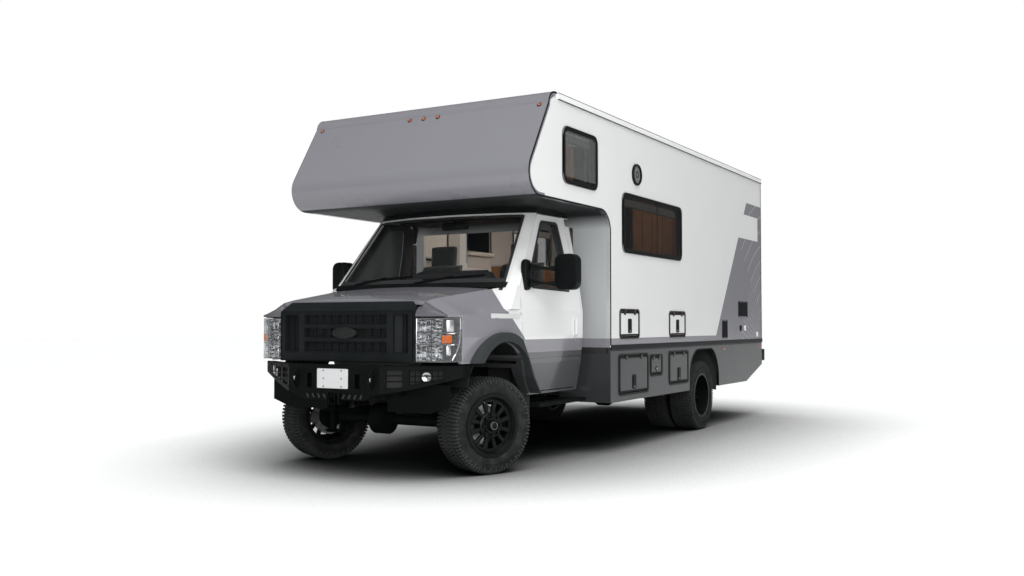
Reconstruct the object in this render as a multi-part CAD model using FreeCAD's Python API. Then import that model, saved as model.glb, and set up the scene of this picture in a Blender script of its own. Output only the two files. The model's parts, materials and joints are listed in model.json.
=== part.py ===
"""Motorhome: a camper body with an overcab nose on a van cab chassis with twin rear wheels.

Millimetres. +Z is up, the front faces -Y and +X is the vehicle's left. Everything is modelled from the
front axle line (y = 0) on the ground (z = 0), and moved along Y at the end so that the origin lies under
the middle of the whole vehicle.
"""
import FreeCAD, Part
import math
import os

V = FreeCAD.Vector
PARTS = {}

# ---------------------------------------------------------------- driving dimensions
wheelbase = 4013.0            # front axle to rear axle
front_overhang = 930.0        # front axle to the tips of the bumper's recovery eyes
body_overhang = 2283.0        # rear axle to the back wall
rear_bumper_reach = 138.0     # back wall to the back of the rear bumper
running_gap = 0.5             # between a shaft and its bore
seam = 0.3                    # between neighbouring curved faces
door_gap = 8.0                # round doors and hatches
hood_gap = 11.0

tyre_radius = 382.0
tyre_width = 255.0
bead_radius = 236.0           # tyre bore
rim_flange_radius = 250.0
rim_wall = 12.0
spindle_radius = 40.0
front_track_half = 848.0      # to the middle of a front tyre
kingpin_half = 745.0
parked_steer = -22.0          # degrees about +Z, to the vehicle's right
twin_outer_face = 1215.0      # outside of the outer rear tyre
twin_gap = 45.0               # between twin tyres

frame_half = 432.0            # outside of the frame rails
rail_flange = 76.0
rail_bottom = 620.0
rail_height = 180.0
rail_front = -815.0
rail_wall = 8.0
axle_tube_radius = 48.0
axle_housing_radius = 165.0
spring_half = 394.0           # middle of a leaf spring
spring_width = 64.0
spring_reach = 560.0          # axle to the spring's end

cab_half = 1000.0             # widest part of the cab
cab_front = 300.0             # bulkhead
cab_rear = 1412.0
cab_floor_z = 850.0
floor_slab = 35.0
sill_half = cab_half - 150.0  # inside of the sills
belt_z = 1500.0               # lower edge of the glass
cab_wall = 70.0
door_skin = 22.0
sill_z = 585.0
arch_y = -8.0                 # centre and radius of the front wheel arch
arch_z = 590.0
arch_radius = 452.0
arch_back = 530.0             # lower rear corner of the arch
arch_elbow = (408.0, 745.0)   # (y, z) where its rear edge bends back
flare_band = 72.0
flare_thickness = 42.0
headlamp_bottom = 892.0
headlamp_top = 1229.0
headlamp_back = -538.0
grille_half = 662.0
hood_thickness = 30.0
hood_front = -655.0
hood_rear = 95.0
glass_thickness = 6.0

body_half = 1229.0
body_front = 1518.0
body_rear = wheelbase + body_overhang
kick_run = 682.0
body_top = 3096.0
overcab_bottom = 2203.5
waist_z = 965.0               # joint between side wall and skirt
skirt_z = 460.0
floor_thickness = 60.0
wall = 40.0
cap_thickness = 30.0
roof_thickness = 50.0
skirt_thickness = 30.0
inner_corner_radius = 190.0
kick_start_y = body_rear - kick_run   # where the skirt rises to the tail
kick_z = 655.0

engine_z = 700.0
gearbox_end = 1180.0
tank_front = wheelbase + 680.0
tank_length = 1057.0
tank_rear = tank_front + tank_length
rail_end = body_rear - 40
outrigger_z = waist_z - floor_thickness - 45
OUTRIGGERS = (body_front + 182, wheelbase - 1013, wheelbase + 787, body_rear - 296)
bumper_y = -880.0
bumper_bottom = 655.0
valance_z = 600.0
bumper_top = 870.0
eye_radius = 14.0
eye_z = 760.0
eye_y = -902.0                # middle of the shackle hole
eye_plate = 26.0
eye_half = 372.0
receiver_outer = 76.0
receiver_bore = 51.0
receiver_z = 600.0


# ---------------------------------------------------------------- small shape helpers
def wire(points):
    """Closed wire through 3D points; ("arc", middle, end) makes an arc to end."""
    edges = []
    start = points[0]
    for step in points[1:] + [points[0]]:
        if step[0] == "arc":
            edges.append(Part.Arc(V(*start), V(*step[1]), V(*step[2])).toShape())
            start = step[2]
        elif (V(*step) - V(*start)).Length > 1e-6:
            edges.append(Part.LineSegment(V(*start), V(*step)).toShape())
            start = step
    return Part.Wire(edges)


def lift(points, place):
    """Turns 2D outline points into 3D ones with the function place(a, b)."""
    return [("arc", place(*p[1]), place(*p[2])) if p[0] == "arc" else place(*p) for p in points]


def prism_x(outline, x0, x1):
    """Outline of (y, z) points, from x0 to x1."""
    return Part.Face(wire(lift(outline, lambda y, z: (x0, y, z)))).extrude(V(x1 - x0, 0, 0))


def prism_y(outline, y0, y1):
    """Outline of (x, z) points, from y0 to y1."""
    return Part.Face(wire(lift(outline, lambda x, z: (x, y0, z)))).extrude(V(0, y1 - y0, 0))


def prism_z(outline, z0, z1):
    """Outline of (x, y) points, from z0 to z1."""
    return Part.Face(wire(lift(outline, lambda x, y: (x, y, z0)))).extrude(V(0, 0, z1 - z0))


def block(x0, x1, y0, y1, z0, z1):
    return Part.makeBox(x1 - x0, y1 - y0, z1 - z0, V(x0, y0, z0))


def rod(start, end, radius):
    start, end = V(*start), V(*end)
    return Part.makeCylinder(radius, (end - start).Length, start, end - start)


def rounded(a0, a1, b0, b1, r):
    """Rectangle outline with rounded corners."""
    k = r * (1 - math.sqrt(0.5))
    return [(a0 + r, b0), (a1 - r, b0), ("arc", (a1 - k, b0 + k), (a1, b0 + r)),
            (a1, b1 - r), ("arc", (a1 - k, b1 - k), (a1 - r, b1)),
            (a0 + r, b1), ("arc", (a0 + k, b1 - k), (a0, b1 - r)),
            (a0, b0 + r), ("arc", (a0 + k, b0 + k), (a0 + r, b0))]


def turned(profile, y, z, x_sign=1):
    """Ring turned about the X line through (y, z); profile is (x, radius) points."""
    face = Part.Face(wire([(x_sign * x, y, z + r) for x, r in profile]))
    return face.revolve(V(0, y, z), V(1, 0, 0), 360)


def mirrored(shape):
    return shape.mirror(V(0, 0, 0), V(1, 0, 0))


def loft(sections):
    return Part.makeLoft([wire(s) for s in sections], True, True)


def fuse(shapes):
    return shapes[0].multiFuse(shapes[1:]).removeSplitter() if len(shapes) > 1 else shapes[0]


def piece(name, *shapes):
    """One node: solids that don't touch, in one file."""
    solids = [s for shape in shapes for s in shape.Solids]
    PARTS[name] = solids[0] if len(solids) == 1 else Part.Compound(solids)


def both(shape):
    return [shape, mirrored(shape)]


# ---------------------------------------------------------------- wheels
def tyre(x_mid, y):
    h = tyre_width / 2
    profile = [(-h + 26, bead_radius), (-h + 15, 256), (-h + 3, 275), (-h, 305), (-h + 10, 352), (-h + 34, 376),
               (-h + 60, tyre_radius)]
    profile += [(-x, r) for x, r in reversed(profile)]
    return turned([(x_mid + x, r) for x, r in profile], y, tyre_radius)


def window_ring(count, x0, x1, y, r0, r1, share):
    """Trapezoid openings round a rim's disc; share is the part of the pitch that is open."""
    cuts = []
    for i in range(count):
        a = 2 * math.pi * i / count
        h = math.pi / count * share
        pts = [(y + r * math.cos(a + s * h * k), tyre_radius + r * math.sin(a + s * h * k))
               for r, s, k in ((r0, -1, 0.75), (r1, -1, 1.0), (r1, 1, 1.0), (r0, 1, 0.75))]
        cuts.append(prism_x(pts, x0, x1))
    return Part.Compound(cuts)


def front_rim():
    """Left front rim: barrel with flanges, recessed disc with openings, hub with a blind bore."""
    flange_in = front_track_half - tyre_width / 2 + 16
    flange_out = front_track_half + tyre_width / 2 - 16
    r_out = bead_radius - seam
    r_in = r_out - rim_wall
    disc_out = flange_out - 30
    disc_in = disc_out - 22
    profile = [(flange_in - 8, rim_flange_radius), (flange_in - 8, r_in), (disc_in, r_in - 6),
               (disc_in, spindle_radius + running_gap), (disc_in + 18, spindle_radius + running_gap),
               (disc_in + 18, 0), (flange_out - 6, 0), (flange_out - 6, 62), (disc_out - 4, 70),
               (disc_out, r_in - 20), (flange_out + 8, r_in), (flange_out + 8, rim_flange_radius),
               (flange_out, rim_flange_radius), (flange_out, r_out), (flange_in, r_out),
               (flange_in, rim_flange_radius)]
    rim = turned(profile, 0, tyre_radius)
    return rim.cut(window_ring(12, disc_in - 5, disc_out + 30, 0, 105, 185, 0.62))


def rear_rims():
    """Left rear twin rims on one hub, with a blind bore for the spindle."""
    outer_mid = twin_outer_face - tyre_width / 2
    inner_mid = outer_mid - tyre_width - twin_gap
    plane = (outer_mid + inner_mid) / 2
    half = tyre_width / 2 - 16
    r_out = bead_radius - seam
    r_in = r_out - rim_wall
    solids = []
    for mid, side in ((outer_mid, 1), (inner_mid, -1)):
        far, near = mid + side * half, mid - side * half
        barrel = [(far + side * 8, rim_flange_radius), (far + side * 8, r_in), (near, r_in - 2),
                  (plane + side * 20, 120), (plane + side * 20, 80), (plane, 80), (plane, 150),
                  (near - side * 8, rim_flange_radius - 6), (near, rim_flange_radius), (near, r_out), (far, r_out),
                  (far, rim_flange_radius)]
        solids.append(turned(barrel, wheelbase, tyre_radius))
    hub = turned([(plane - 60, spindle_radius + running_gap), (plane - 60, 95), (plane + 60, 95),
                  (plane + 160, 70), (plane + 160, 0), (plane + 30, 0), (plane + 30, spindle_radius + running_gap)],
                 wheelbase, tyre_radius)
    rims = fuse([solids[0], solids[1], hub])
    return rims.cut(window_ring(8, plane + 1, plane + 60, wheelbase, 120, 190, 0.5))


def steered(shape, side):
    """Turns a front wheel piece about its kingpin to the parked steering angle."""
    turned_shape = shape.copy()
    turned_shape.rotate(V(side * kingpin_half, 0, 0), V(0, 0, 1), parked_steer)
    return turned_shape


def knuckle():
    """Left knuckle: kingpin barrel, stub axle and brake caliper, straight ahead."""
    barrel = rod((kingpin_half, 0, tyre_radius - 120), (kingpin_half, 0, tyre_radius + 120), 36)
    flange_out = front_track_half + tyre_width / 2 - 16
    stub = rod((kingpin_half, 0, tyre_radius), (flange_out - 30 - 22 + 14, 0, tyre_radius), spindle_radius)
    plate = rod((kingpin_half + 20, 0, tyre_radius), (kingpin_half + 42, 0, tyre_radius), 112)
    arm = block(kingpin_half - 20, kingpin_half + 20, 0, 140, tyre_radius - 60, tyre_radius - 35)
    return fuse([barrel, stub, plate, arm])


def wheels():
    left_rim, left_tyre = front_rim(), tyre(front_track_half, 0)
    for side, name in ((1, "left"), (-1, "right")):
        for node, shape in (("rim_front_", left_rim), ("tyre_front_", left_tyre), ("knuckle_", knuckle())):
            own = shape if side > 0 else mirrored(shape)
            piece(node + name, steered(own, side))
    outer_mid = twin_outer_face - tyre_width / 2
    inner_mid = outer_mid - tyre_width - twin_gap
    twins = [tyre(outer_mid, wheelbase), tyre(inner_mid, wheelbase)]
    rims = rear_rims()
    piece("tyres_rear_left", *twins)
    piece("tyres_rear_right", *[mirrored(t) for t in twins])
    piece("rims_rear_left", rims)
    piece("rims_rear_right", mirrored(rims))


# ---------------------------------------------------------------- axles and frame
def leaf_spring(y):
    """Left spring pack over an axle at y, hung between the frame's hangers."""
    x0, x1 = spring_half - spring_width / 2, spring_half + spring_width / 2
    seat = tyre_radius + axle_tube_radius - 6
    end = spring_reach
    outline = [(y - end, seat + 62), (y - 120, seat), (y + 120, seat), (y + end, seat + 62),
               (y + end, seat + 74), (y + 120, seat + 44), (y - 120, seat + 44), (y - end, seat + 74)]
    return prism_x(outline, x0, x1)


def front_axle():
    t = axle_tube_radius
    tube = turned([(-640, 0), (-640, t), (-300, t), (-250, 130), (-120, 130), (-70, t), (640, t), (640, 0)],
                  0, tyre_radius)
    lug_low, lug_high = 120 + seam, 145
    parts = [tube]
    for side in (1, -1):
        x_in, x_out = side * 640, side * (kingpin_half + 36)
        for z0, z1 in ((tyre_radius + lug_low, tyre_radius + lug_high), (tyre_radius - lug_high, tyre_radius - lug_low)):
            lug = prism_z([(x_in - side * 20, -36), (x_out, -36), (x_out, 36), (x_in - side * 20, 36)], z0, z1)
            parts.append(lug)
        parts.append(block(min(x_in - side * 20, x_in), max(x_in - side * 20, x_in), -36, 36,
                           tyre_radius - lug_high, tyre_radius + lug_high))
        parts.append(leaf_spring(0) if side > 0 else mirrored(leaf_spring(0)))
    piece("front_axle", fuse(parts))


def rear_axle():
    spindle_end = (twin_outer_face - tyre_width - twin_gap / 2) + 25
    tube_end, h = spindle_end - 90, axle_housing_radius
    half = [(h + 60, 62), (tube_end, 62), (tube_end, spindle_radius), (spindle_end, spindle_radius), (spindle_end, 0)]
    profile = [(-x, r) for x, r in reversed(half)] + [(-60, h), (60, h)] + half
    parts = [turned(profile, wheelbase, tyre_radius)]
    for side in (1, -1):
        spring = leaf_spring(wheelbase)
        parts.append(spring if side > 0 else mirrored(spring))
    piece("rear_axle", fuse(parts))


def chassis_frame():
    """Two channel rails with the spring hangers and the cab's and body's mounts."""
    rail_top = rail_bottom + rail_height
    x0, x1 = frame_half - rail_flange, frame_half
    solids = [block(x0, x1, rail_front, rail_end, rail_bottom, rail_top).cut(
        block(x0 - 1, x1 - rail_wall, rail_front - 1, rail_end + 1, rail_bottom + rail_wall, rail_top - rail_wall))]
    spring_end = tyre_radius + axle_tube_radius + 68 + seam
    for y in (0.0, wheelbase):
        for end in (-spring_reach, spring_reach - 60):
            solids.append(block(x0 + 6, x1 - 6, y + end, y + end + 60, spring_end, rail_bottom + 4))
    for y in OUTRIGGERS:
        solids.append(block(x0, x1, y, y + 60, rail_top - 4, outrigger_z))
    for y in (cab_front + 60, cab_rear - 162):
        solids.append(block(x0, x1, y, y + 80, rail_top - 4, cab_floor_z - floor_slab))
    piece("frame_rails", *both(fuse(solids)))


def cross_members():
    """Beams between the rails' webs, beams under the body's floor, and the rear one with its receiver."""
    rail_top = rail_bottom + rail_height
    x1 = frame_half - rail_wall
    beams = []
    for y in (-480.0, 420.0, wheelbase - 813, tank_front - 60, tank_rear):
        beams.append(block(-x1, x1, y, y + 60, rail_bottom + 10, engine_z))
    for y in (gearbox_end + 120, wheelbase - 1613):
        beams.append(block(-x1, x1, y, y + 60, engine_z - 8, rail_top - 10))
    for y in OUTRIGGERS:
        beams.append(block(-body_half + 80, body_half - 80, y, y + 60, outrigger_z, outrigger_z + 45))
    receiver_end = body_rear + 128
    hole_z = rail_bottom - receiver_outer / 2
    tail = fuse([block(-x1, x1, rail_end - 60, rail_end, rail_bottom + 10, rail_top - 10),
                 block(-40, 40, rail_end - 60, receiver_end, rail_bottom - receiver_outer + 2, rail_bottom + 20),
                 block(-receiver_outer / 2, receiver_outer / 2, body_rear + 20, receiver_end,
                       rail_bottom - receiver_outer, rail_bottom)])
    half = receiver_bore / 2
    beams.append(tail.cut(block(-half, half, body_rear - 60, receiver_end + 10, hole_z - half, hole_z + half)))
    piece("cross_members", *beams)


def running_gear():
    block_z1 = 1130.0
    gearbox = Part.makeLoft([
        Part.Wire(Part.makeCircle(170, V(0, 400, 900), V(0, 1, 0))),
        Part.Wire(Part.makeCircle(95, V(0, gearbox_end, 640), V(0, 1, 0)))], True, True)
    engine = fuse([block(-270, 270, -480, 420, engine_z, block_z1), gearbox])
    piece("engine_block", engine)
    shaft = rod((0, gearbox_end - 60, 645.5), (0, wheelbase, tyre_radius - 16), 42)
    shaft = shaft.cut(block(-200, 200, 900, gearbox_end + seam, 400, 900))
    piece("drive_shaft", shaft.cut(block(-200, 200, wheelbase - axle_housing_radius - seam, wheelbase + 200, 200, 600)))
    piece("fuel_tank", block(-frame_half + rail_flange + 20, frame_half - rail_flange - 20,
                             tank_front + seam, tank_rear - seam, 500, 780))


# ---------------------------------------------------------------- cab
# half-width of the cab at each height
CAB_LEVELS = [(sill_z, cab_half - 70), (850.0, cab_half - 20), (1080.0, cab_half), (1300.0, cab_half),
              (belt_z, cab_half - 30)]
roof_z = overcab_bottom
roof_half = cab_half - 165
cut_in, cut_out = cab_half - 500, cab_half + 100      # how far cuts through one side of the cab reach


def cab_lower(inset, y0=cab_front, y1=cab_rear, z0=sill_z):
    right = [(-(w - inset), z) for z, w in CAB_LEVELS]
    left = [(w - inset, z) for z, w in reversed(CAB_LEVELS)]
    return prism_y(right + left, y0, y1)


def greenhouse(inset):
    """Part of the cab above the belt: an arc for the glass, pillars and flat sides."""
    def section(z, half, pillar_y, corner_x, corner_y, middle_y):
        h, c = half - inset, corner_x - inset
        return [(-h, cab_rear, z), (-h, pillar_y + inset, z), (-c, corner_y + inset, z),
                ("arc", (0, middle_y + inset, z), (c, corner_y + inset, z)),
                (h, pillar_y + inset, z), (h, cab_rear, z)]
    return loft([section(belt_z, cab_half - 30, cab_front, cab_half - 95, 235, 100),
                 section(roof_z, roof_half, 850, cab_half - 225, 800, 650)])


# (y, z) outlines: the door's outer skin, its inner panel, the hole in the cab and the window
DOOR_OUTLINE = [(560, 612), (1345, 612), (1380, 850), (1380, 1480), (1300, 2110), (1262, 2146),
                (832, 2140), (792, 2106), (337, 1530), (275, 1330), (315, 1065), (372, 884), (450, 745)]
DOOR_INNER = [(590, 640), (1318, 640), (1352, 850), (1352, 1475), (1272, 2092), (1246, 2118),
              (850, 2112), (820, 2088), (372, 1522), (310, 1330), (345, 1075), (400, 900), (478, 760)]
DOOR_OPENING = [(555, 604), (1353, 604), (1389, 850), (1389, 1485), (1316, 2114), (1272, 2156),
                (826, 2148), (784, 2113), (328, 1534), (267, 1330), (307, 1062), (364, 880), (443, 740)]
DOOR_WINDOW = [(455, 1530), (545, 1492), (1180, 1480), (1206, 1560), (1200, 1850), (1172, 2062),
               (1145, 2082), (885, 2078), (850, 2055)]
# (z0, z1) of the hinge leaves in the gap at the door's front edge
DOOR_HINGES = [(1200, 1240), (1270, 1310)]


def edge_y(z, low, high):
    """y at height z on the straight edge between two (y, z) points."""
    return low[0] + (z - low[1]) / (high[1] - low[1]) * (high[0] - low[0])


def cab():
    lower, top = cab_lower(0), greenhouse(0)
    shell = fuse([lower, top])
    hollow = fuse([cab_lower(cab_wall, cab_front + 40, cab_rear + 10).common(
        block(-cut_out, cut_out, 0, 2000, cab_floor_z, belt_z + 1)),
        greenhouse(cab_wall).common(block(-cut_out, cut_out, 0, 2000, belt_z, roof_z - 40))])
    shell = shell.cut(hollow)
    shell = shell.cut(block(-cab_half + 140, cab_half - 140, cab_rear - 80, cab_rear + 20, cab_floor_z + 1, roof_z - 60))
    opening = prism_x(DOOR_OPENING, cut_in, cut_out)
    shell = shell.cut(opening).cut(mirrored(opening))
    under = block(-sill_half, sill_half, cab_front - 10, cab_rear + 10, sill_z - 10, cab_floor_z - floor_slab)
    shell = shell.cut(under)
    shell = fuse([shell, block(-345, 345, cab_front + 30, 620, cab_floor_z - 10, 1290),
                  block(-205, 205, 600, 1040, cab_floor_z - 10, 1010)])
    shell = shell.cut(block(-325, 325, cab_front - 10, 600, cab_floor_z - 100, 1270))
    shell = shell.cut(block(-188, 188, 590, 1022, cab_floor_z - 100, 992))
    r = inner_corner_radius - seam
    y_mid, z_mid = body_front - inner_corner_radius, overcab_bottom - inner_corner_radius
    shell = shell.cut(prism_x([(y_mid, z_mid + r + 100), (y_mid, z_mid + r),
                               ("arc", (y_mid + r * math.sqrt(0.5), z_mid + r * math.sqrt(0.5)), (y_mid + r, z_mid)),
                               (y_mid + r + 100, z_mid), (y_mid + r + 100, z_mid + r + 100)], -cut_out, cut_out))
    shell = shell.cut(windscreen_hole())
    for side in (1, -1):
        shell = shell.cut(arch_cut(side))
    scuttle = prism_z([(-cab_half + 192, hood_rear + 15), (cab_half - 192, hood_rear + 15),
                       (cab_half - 162, cab_front + 10), (-cab_half + 162, cab_front + 10)], 1440, 1462)
    # feet of the front pillars, resting on the wings
    c, under = cab_half, []
    for y, hx, hz, _, sx, sz, wx in front_stations():
        hx += hood_gap
        under.append([(hx, y, hz + seam), (sx + seam, y, sz + seam), (wx + seam, y, 1080), (wx, y, 900),
                      (hx - 300, y, 900), (hx - 300, y, hz + seam)])
    foot = loft([[(c - 160, cab_front, 1300), (c - 160, 60, 1300), (c - 95, 60, 1300), (c, 110, 1300), (c, cab_front, 1300)],
                 [(c - 160, cab_front, belt_z + 1), (c - 160, 214, belt_z + 1), (c - 95, 233, belt_z + 1), (c - 32, 276, belt_z + 1),
                  (c - 30, cab_front, belt_z + 1)]])
    foot = foot.cut(loft(under)).cut(opening)
    piece("cab_shell", fuse([shell, scuttle, foot, mirrored(foot)]))

    pane = greenhouse(12).cut(greenhouse(12 + glass_thickness)).common(windscreen_hole())
    piece("windscreen", pane)

    skin = fuse([cab_lower(0), greenhouse(0)])
    window = prism_x(DOOR_WINDOW, cut_in, cut_out)
    levels = {}
    for inset in (door_skin, cab_wall - 4):
        levels[inset] = fuse([cab_lower(inset, cab_front - 100, cab_rear + 50), greenhouse(inset)])
    side = block(cab_half - 300, cut_out, cab_front - 100, cab_rear + 38, sill_z, roof_z)
    outer = skin.cut(levels[door_skin]).common(side).common(prism_x(DOOR_OUTLINE, cut_in, cut_out))
    inner = levels[door_skin].cut(levels[cab_wall - 4]).common(side).common(prism_x(DOOR_INNER, cut_in, cut_out))
    leaves = []
    for z0, z1 in DOOR_HINGES:
        hole = [edge_y(z, DOOR_OPENING[10], DOOR_OPENING[9]) + seam for z in (z0, z1)]
        leaves.append(prism_x([(hole[0], z0), (hole[1], z1), (hole[1] + 12, z1), (hole[0] + 12, z0)],
                              cab_half - 20, cab_half - 3))
    outer = outer.cut(windscreen_hole())
    inner = inner.cut(windscreen_hole())
    door = fuse([outer, inner] + leaves).cut(window)
    pane_layer = fuse([cab_lower(10), greenhouse(10)]).cut(fuse([cab_lower(16), greenhouse(16)]))
    glass = pane_layer.common(side).common(window)
    for name, flip in (("left", False), ("right", True)):
        piece("cab_door_" + name, mirrored(door) if flip else door)
        piece("door_glass_" + name, mirrored(glass) if flip else glass)


def windscreen_hole():
    """Opening of the windscreen: what lies in front of the pillars and between base and header."""
    def section(z, corner_x):
        return [(-corner_x, -200, z), (corner_x, -200, z), (corner_x * 0.97, 1250, z), (-corner_x * 0.97, 1250, z)]
    return loft([section(belt_z + 18, cab_half - 128), section(roof_z - 68.5, cab_half - 222)])


def front_stations():
    """Stations along the front body: y, hood edge (x, z), crown z, shoulder (x, z), side x."""
    c = cab_half
    return [(hood_front, c - 300, 1352.0, 1376.0, c - 95, 1245.0, c - 75),
            (hood_front + 135, c - 288, 1378.0, 1404.0, c - 45, 1250.0, c - 35),
            (hood_rear - 195, c - 230, 1436.0, 1462.0, c - 15, 1262.0, c - 5),
            (cab_front - seam, c - 160, 1488.0, 1518.0, c - 15, 1300.0, c)]


def hood():
    sections = []
    for y, x, z, crown, *_ in front_stations()[:-1] + [(hood_rear, cab_half - 200, 1466.0, 1494.0)]:
        t = hood_thickness
        sections.append([(-x, y, z), ("arc", (0, y, crown), (x, y, z)), (x, y, z - t),
                         ("arc", (0, y, crown - t), (-x, y, z - t))])
    leaves = [block(x - 25, x + 25, hood_rear - 30, hood_rear + 15 - seam, 1436, 1456) for x in (360 - cab_half, cab_half - 360)]
    piece("hood", fuse([loft(sections)] + leaves))


def front_wings():
    """Left and right wings, each a bent panel from the hood's edge down to the bumper and arch."""
    t, c = 28.0, cab_half
    wing_inside = cab_half - 50
    sections = []
    for y, hx, hz, _, sx, sz, wx in front_stations():
        hx += hood_gap
        sections.append([(hx, y, hz), (sx, y, sz), (wx, y, 1080), (wx - 12, y, 880),
                         (wx - 12 - t, y, 880), (wx - t, y, 1080), (sx - t, y, sz - 14), (hx, y, hz - t)])
    wing = loft(sections)
    wing = wing.cut(arch_cut(1))
    wing = wing.cut(block(cab_half - 400, cut_out, hood_front - 145, headlamp_back, 800, headlamp_top + seam))
    liner = prism_x(arch_outline(8), frame_half + 40, wing_inside).cut(prism_x(arch_outline(0), 0, 2000))
    liner = liner.cut(block(400, cut_out, cab_front - 1, 900, 200, 1300)).cut(block(400, cut_out, -900, 900, 200, 700))
    # brow that closes the corner between hood, grille and headlamp
    x0, low = grille_half + seam, headlamp_top + seam
    brow = loft([[(x0, hood_front - 72, low), (c - 200, hood_front - 66, low), (c - 200, hood_front - 66, low + 6),
                  (c - 294, hood_front - 70, low + 14), (x0, hood_front - 72, low + 14)],
                 [(x0, hood_front + t, low), (c - 92, hood_front + t, low), (c - 92, hood_front + t, 1247.0),
                  (c - 293, hood_front + t, 1316.0), (x0, hood_front + t, 1316.0)]])
    wing = fuse([wing, liner, brow]).cut(prism_x(DOOR_OPENING, cut_in, cut_out))
    piece("front_wings", *both(wing))
    return wing


def arch_outline(grow):
    """Front wheel arch: an arc over the tyre that runs straight down and back behind it."""
    r = arch_radius + grow
    back = arch_z + 294
    reach = math.sqrt(r * r - 294 ** 2)
    return [(arch_y - r, 300), (arch_y - r, arch_z), ("arc", (arch_y, arch_z + r), (arch_y + reach, back)),
            (arch_elbow[0] + grow, arch_elbow[1] + grow), (arch_back + grow, arch_z + 12), (arch_back + grow, 300)]


def arch_cut(side):
    return prism_x(arch_outline(0), *sorted((side * (frame_half + 40), side * (cab_half + 80))))


def grille():
    """Grille surround with three slotted rows between two upright slots."""
    half, y0, y1 = grille_half - seam, hood_front - 90, hood_front - 17
    z0, z1, z_cap = 885.0, 1282.0, 1352.0
    body = prism_x([(y0, z0), (y1, z0), (y1, z_cap), (y1 - 4, z_cap), (y0, z1)], -half, half)
    rows = [(1180.0, 1250.0), (1075.0, 1145.0), (965.0, 1040.0)]
    for a, b in rows:
        body = body.cut(block(-400, 400, y0 - 10, y1 - 18, a, b))
    for side in (1, -1):
        xs = sorted((side * 480, side * 600))
        body = body.cut(block(xs[0], xs[1], y0 - 10, y1 - 18, 965, 1250))
        corner = [(side * (half - 62), z_cap + 8), (side * (half + 8), z_cap + 8), (side * (half + 8), z1 - 18)]
        body = body.cut(prism_y(corner, y0 - 10, y1 + 10))
    piece("grille", body)


def headlamps():
    y, c = hood_front, cab_half
    outline = [(grille_half, y - 80), (c - 200, y - 73), (c - 95, y - 35), (c - 50, y + 45),
               (c - 42, headlamp_back - seam), (c - 300, headlamp_back - seam), (grille_half, y + 55)]
    lamp = prism_z(outline, headlamp_bottom, headlamp_top)
    cut = prism_x([(headlamp_back - 22, headlamp_bottom - 5), (headlamp_back + 38, headlamp_bottom - 5),
                   (headlamp_back + 38, headlamp_bottom + 110)], cut_in, cut_out)
    piece("headlamps", *both(lamp.cut(cut)))


def flares(wing):
    """Flares standing out from the wings, narrowing behind the wheel where the door begins."""
    r_in, r_out = arch_radius, arch_radius + flare_band
    back = arch_z + 294
    reach = math.sqrt(r_in ** 2 - 294 ** 2)
    y_end, z_end = arch_y + 250, arch_z + math.sqrt(r_out ** 2 - 250 ** 2)
    front_z = 292
    f_in, f_out = math.sqrt(r_in ** 2 - front_z ** 2), math.sqrt(r_out ** 2 - front_z ** 2)
    outline = [(arch_y - f_in, arch_z + front_z), (arch_y - f_out, arch_z + front_z),
               ("arc", (arch_y - 40, arch_z + math.sqrt(r_out ** 2 - 1600)), (y_end, z_end)),
               (arch_y + reach + 17, back), (arch_elbow[0] + 20, arch_elbow[1] + 3), (arch_back + 16, arch_z + 12),
               (arch_back, arch_z + 12), arch_elbow, (arch_y + reach, back), ("arc", (arch_y, arch_z + r_in), (arch_y - f_in, arch_z + front_z))]
    band = prism_x(outline[:-1] + [outline[-1]], cab_half - 60, cab_half + flare_thickness)
    band = band.cut(wing).cut(cab_lower(-seam, cab_front - seam, cab_rear))
    inside = prism_z([(0, -900), (cab_half - 120, -900), (cab_half - 40, -520), (cab_half - 15, 0),
                      (cab_half - 15, cab_front), (0, cab_front)],
                     600, 1300)
    band = band.cut(inside)
    piece("wheel_arch_flares", *both(band))


def front_bumper():
    c = cab_half
    half = [(443, bumper_y), (c - 18, -560), (c - 15, -500), (c - 95, -500), (c - 115, -540), (440, rail_front)]
    plan = half + [(-x, y) for x, y in reversed(half)]
    upper = prism_z(plan, bumper_bottom, bumper_top)
    rising = prism_y([(443, bumper_bottom - 5), (443, bumper_bottom), (c, bumper_bottom + 68), (c, bumper_bottom - 5)], -1000, -400)
    upper = upper.cut(rising).cut(mirrored(rising))
    skirt = prism_x([(bumper_y + 20, bumper_bottom + 1), (rail_front - 1, bumper_bottom + 1), (rail_front - 1, valance_z),
                     (bumper_y + 50, valance_z)], -430, 430)
    end = prism_y([(440, bumper_bottom - 8), (440, valance_z - 5), (290, valance_z - 5)], -1000, -700)
    skirt = skirt.cut(end).cut(mirrored(end))
    parts = [upper, skirt]
    for side in (1, -1):
        x0, x1 = side * eye_half - eye_plate / 2, side * eye_half + eye_plate / 2
        ear = prism_x([(-front_overhang, eye_z - 38), (-front_overhang, eye_z + 30), (bumper_y + 5, eye_z + 92),
                       (bumper_y + 5, eye_z - 92)], x0, x1)
        parts.append(ear.cut(rod((x0 - 1, eye_y, eye_z), (x1 + 1, eye_y, eye_z), eye_radius)))
    tube = block(-33, 33, bumper_y - 15, -760, receiver_z - 33, receiver_z + 33)
    bumper = fuse(parts + [tube])
    bumper = bumper.cut(block(-receiver_bore / 2, receiver_bore / 2, -1000, -820,
                              receiver_z - receiver_bore / 2, receiver_z + receiver_bore / 2))
    for side in (1, -1):
        bumper = bumper.cut(block(*sorted((side * 210, side * 262)), bumper_y - 10, bumper_y + 40, 690, 800))
    piece("front_bumper", bumper)


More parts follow.
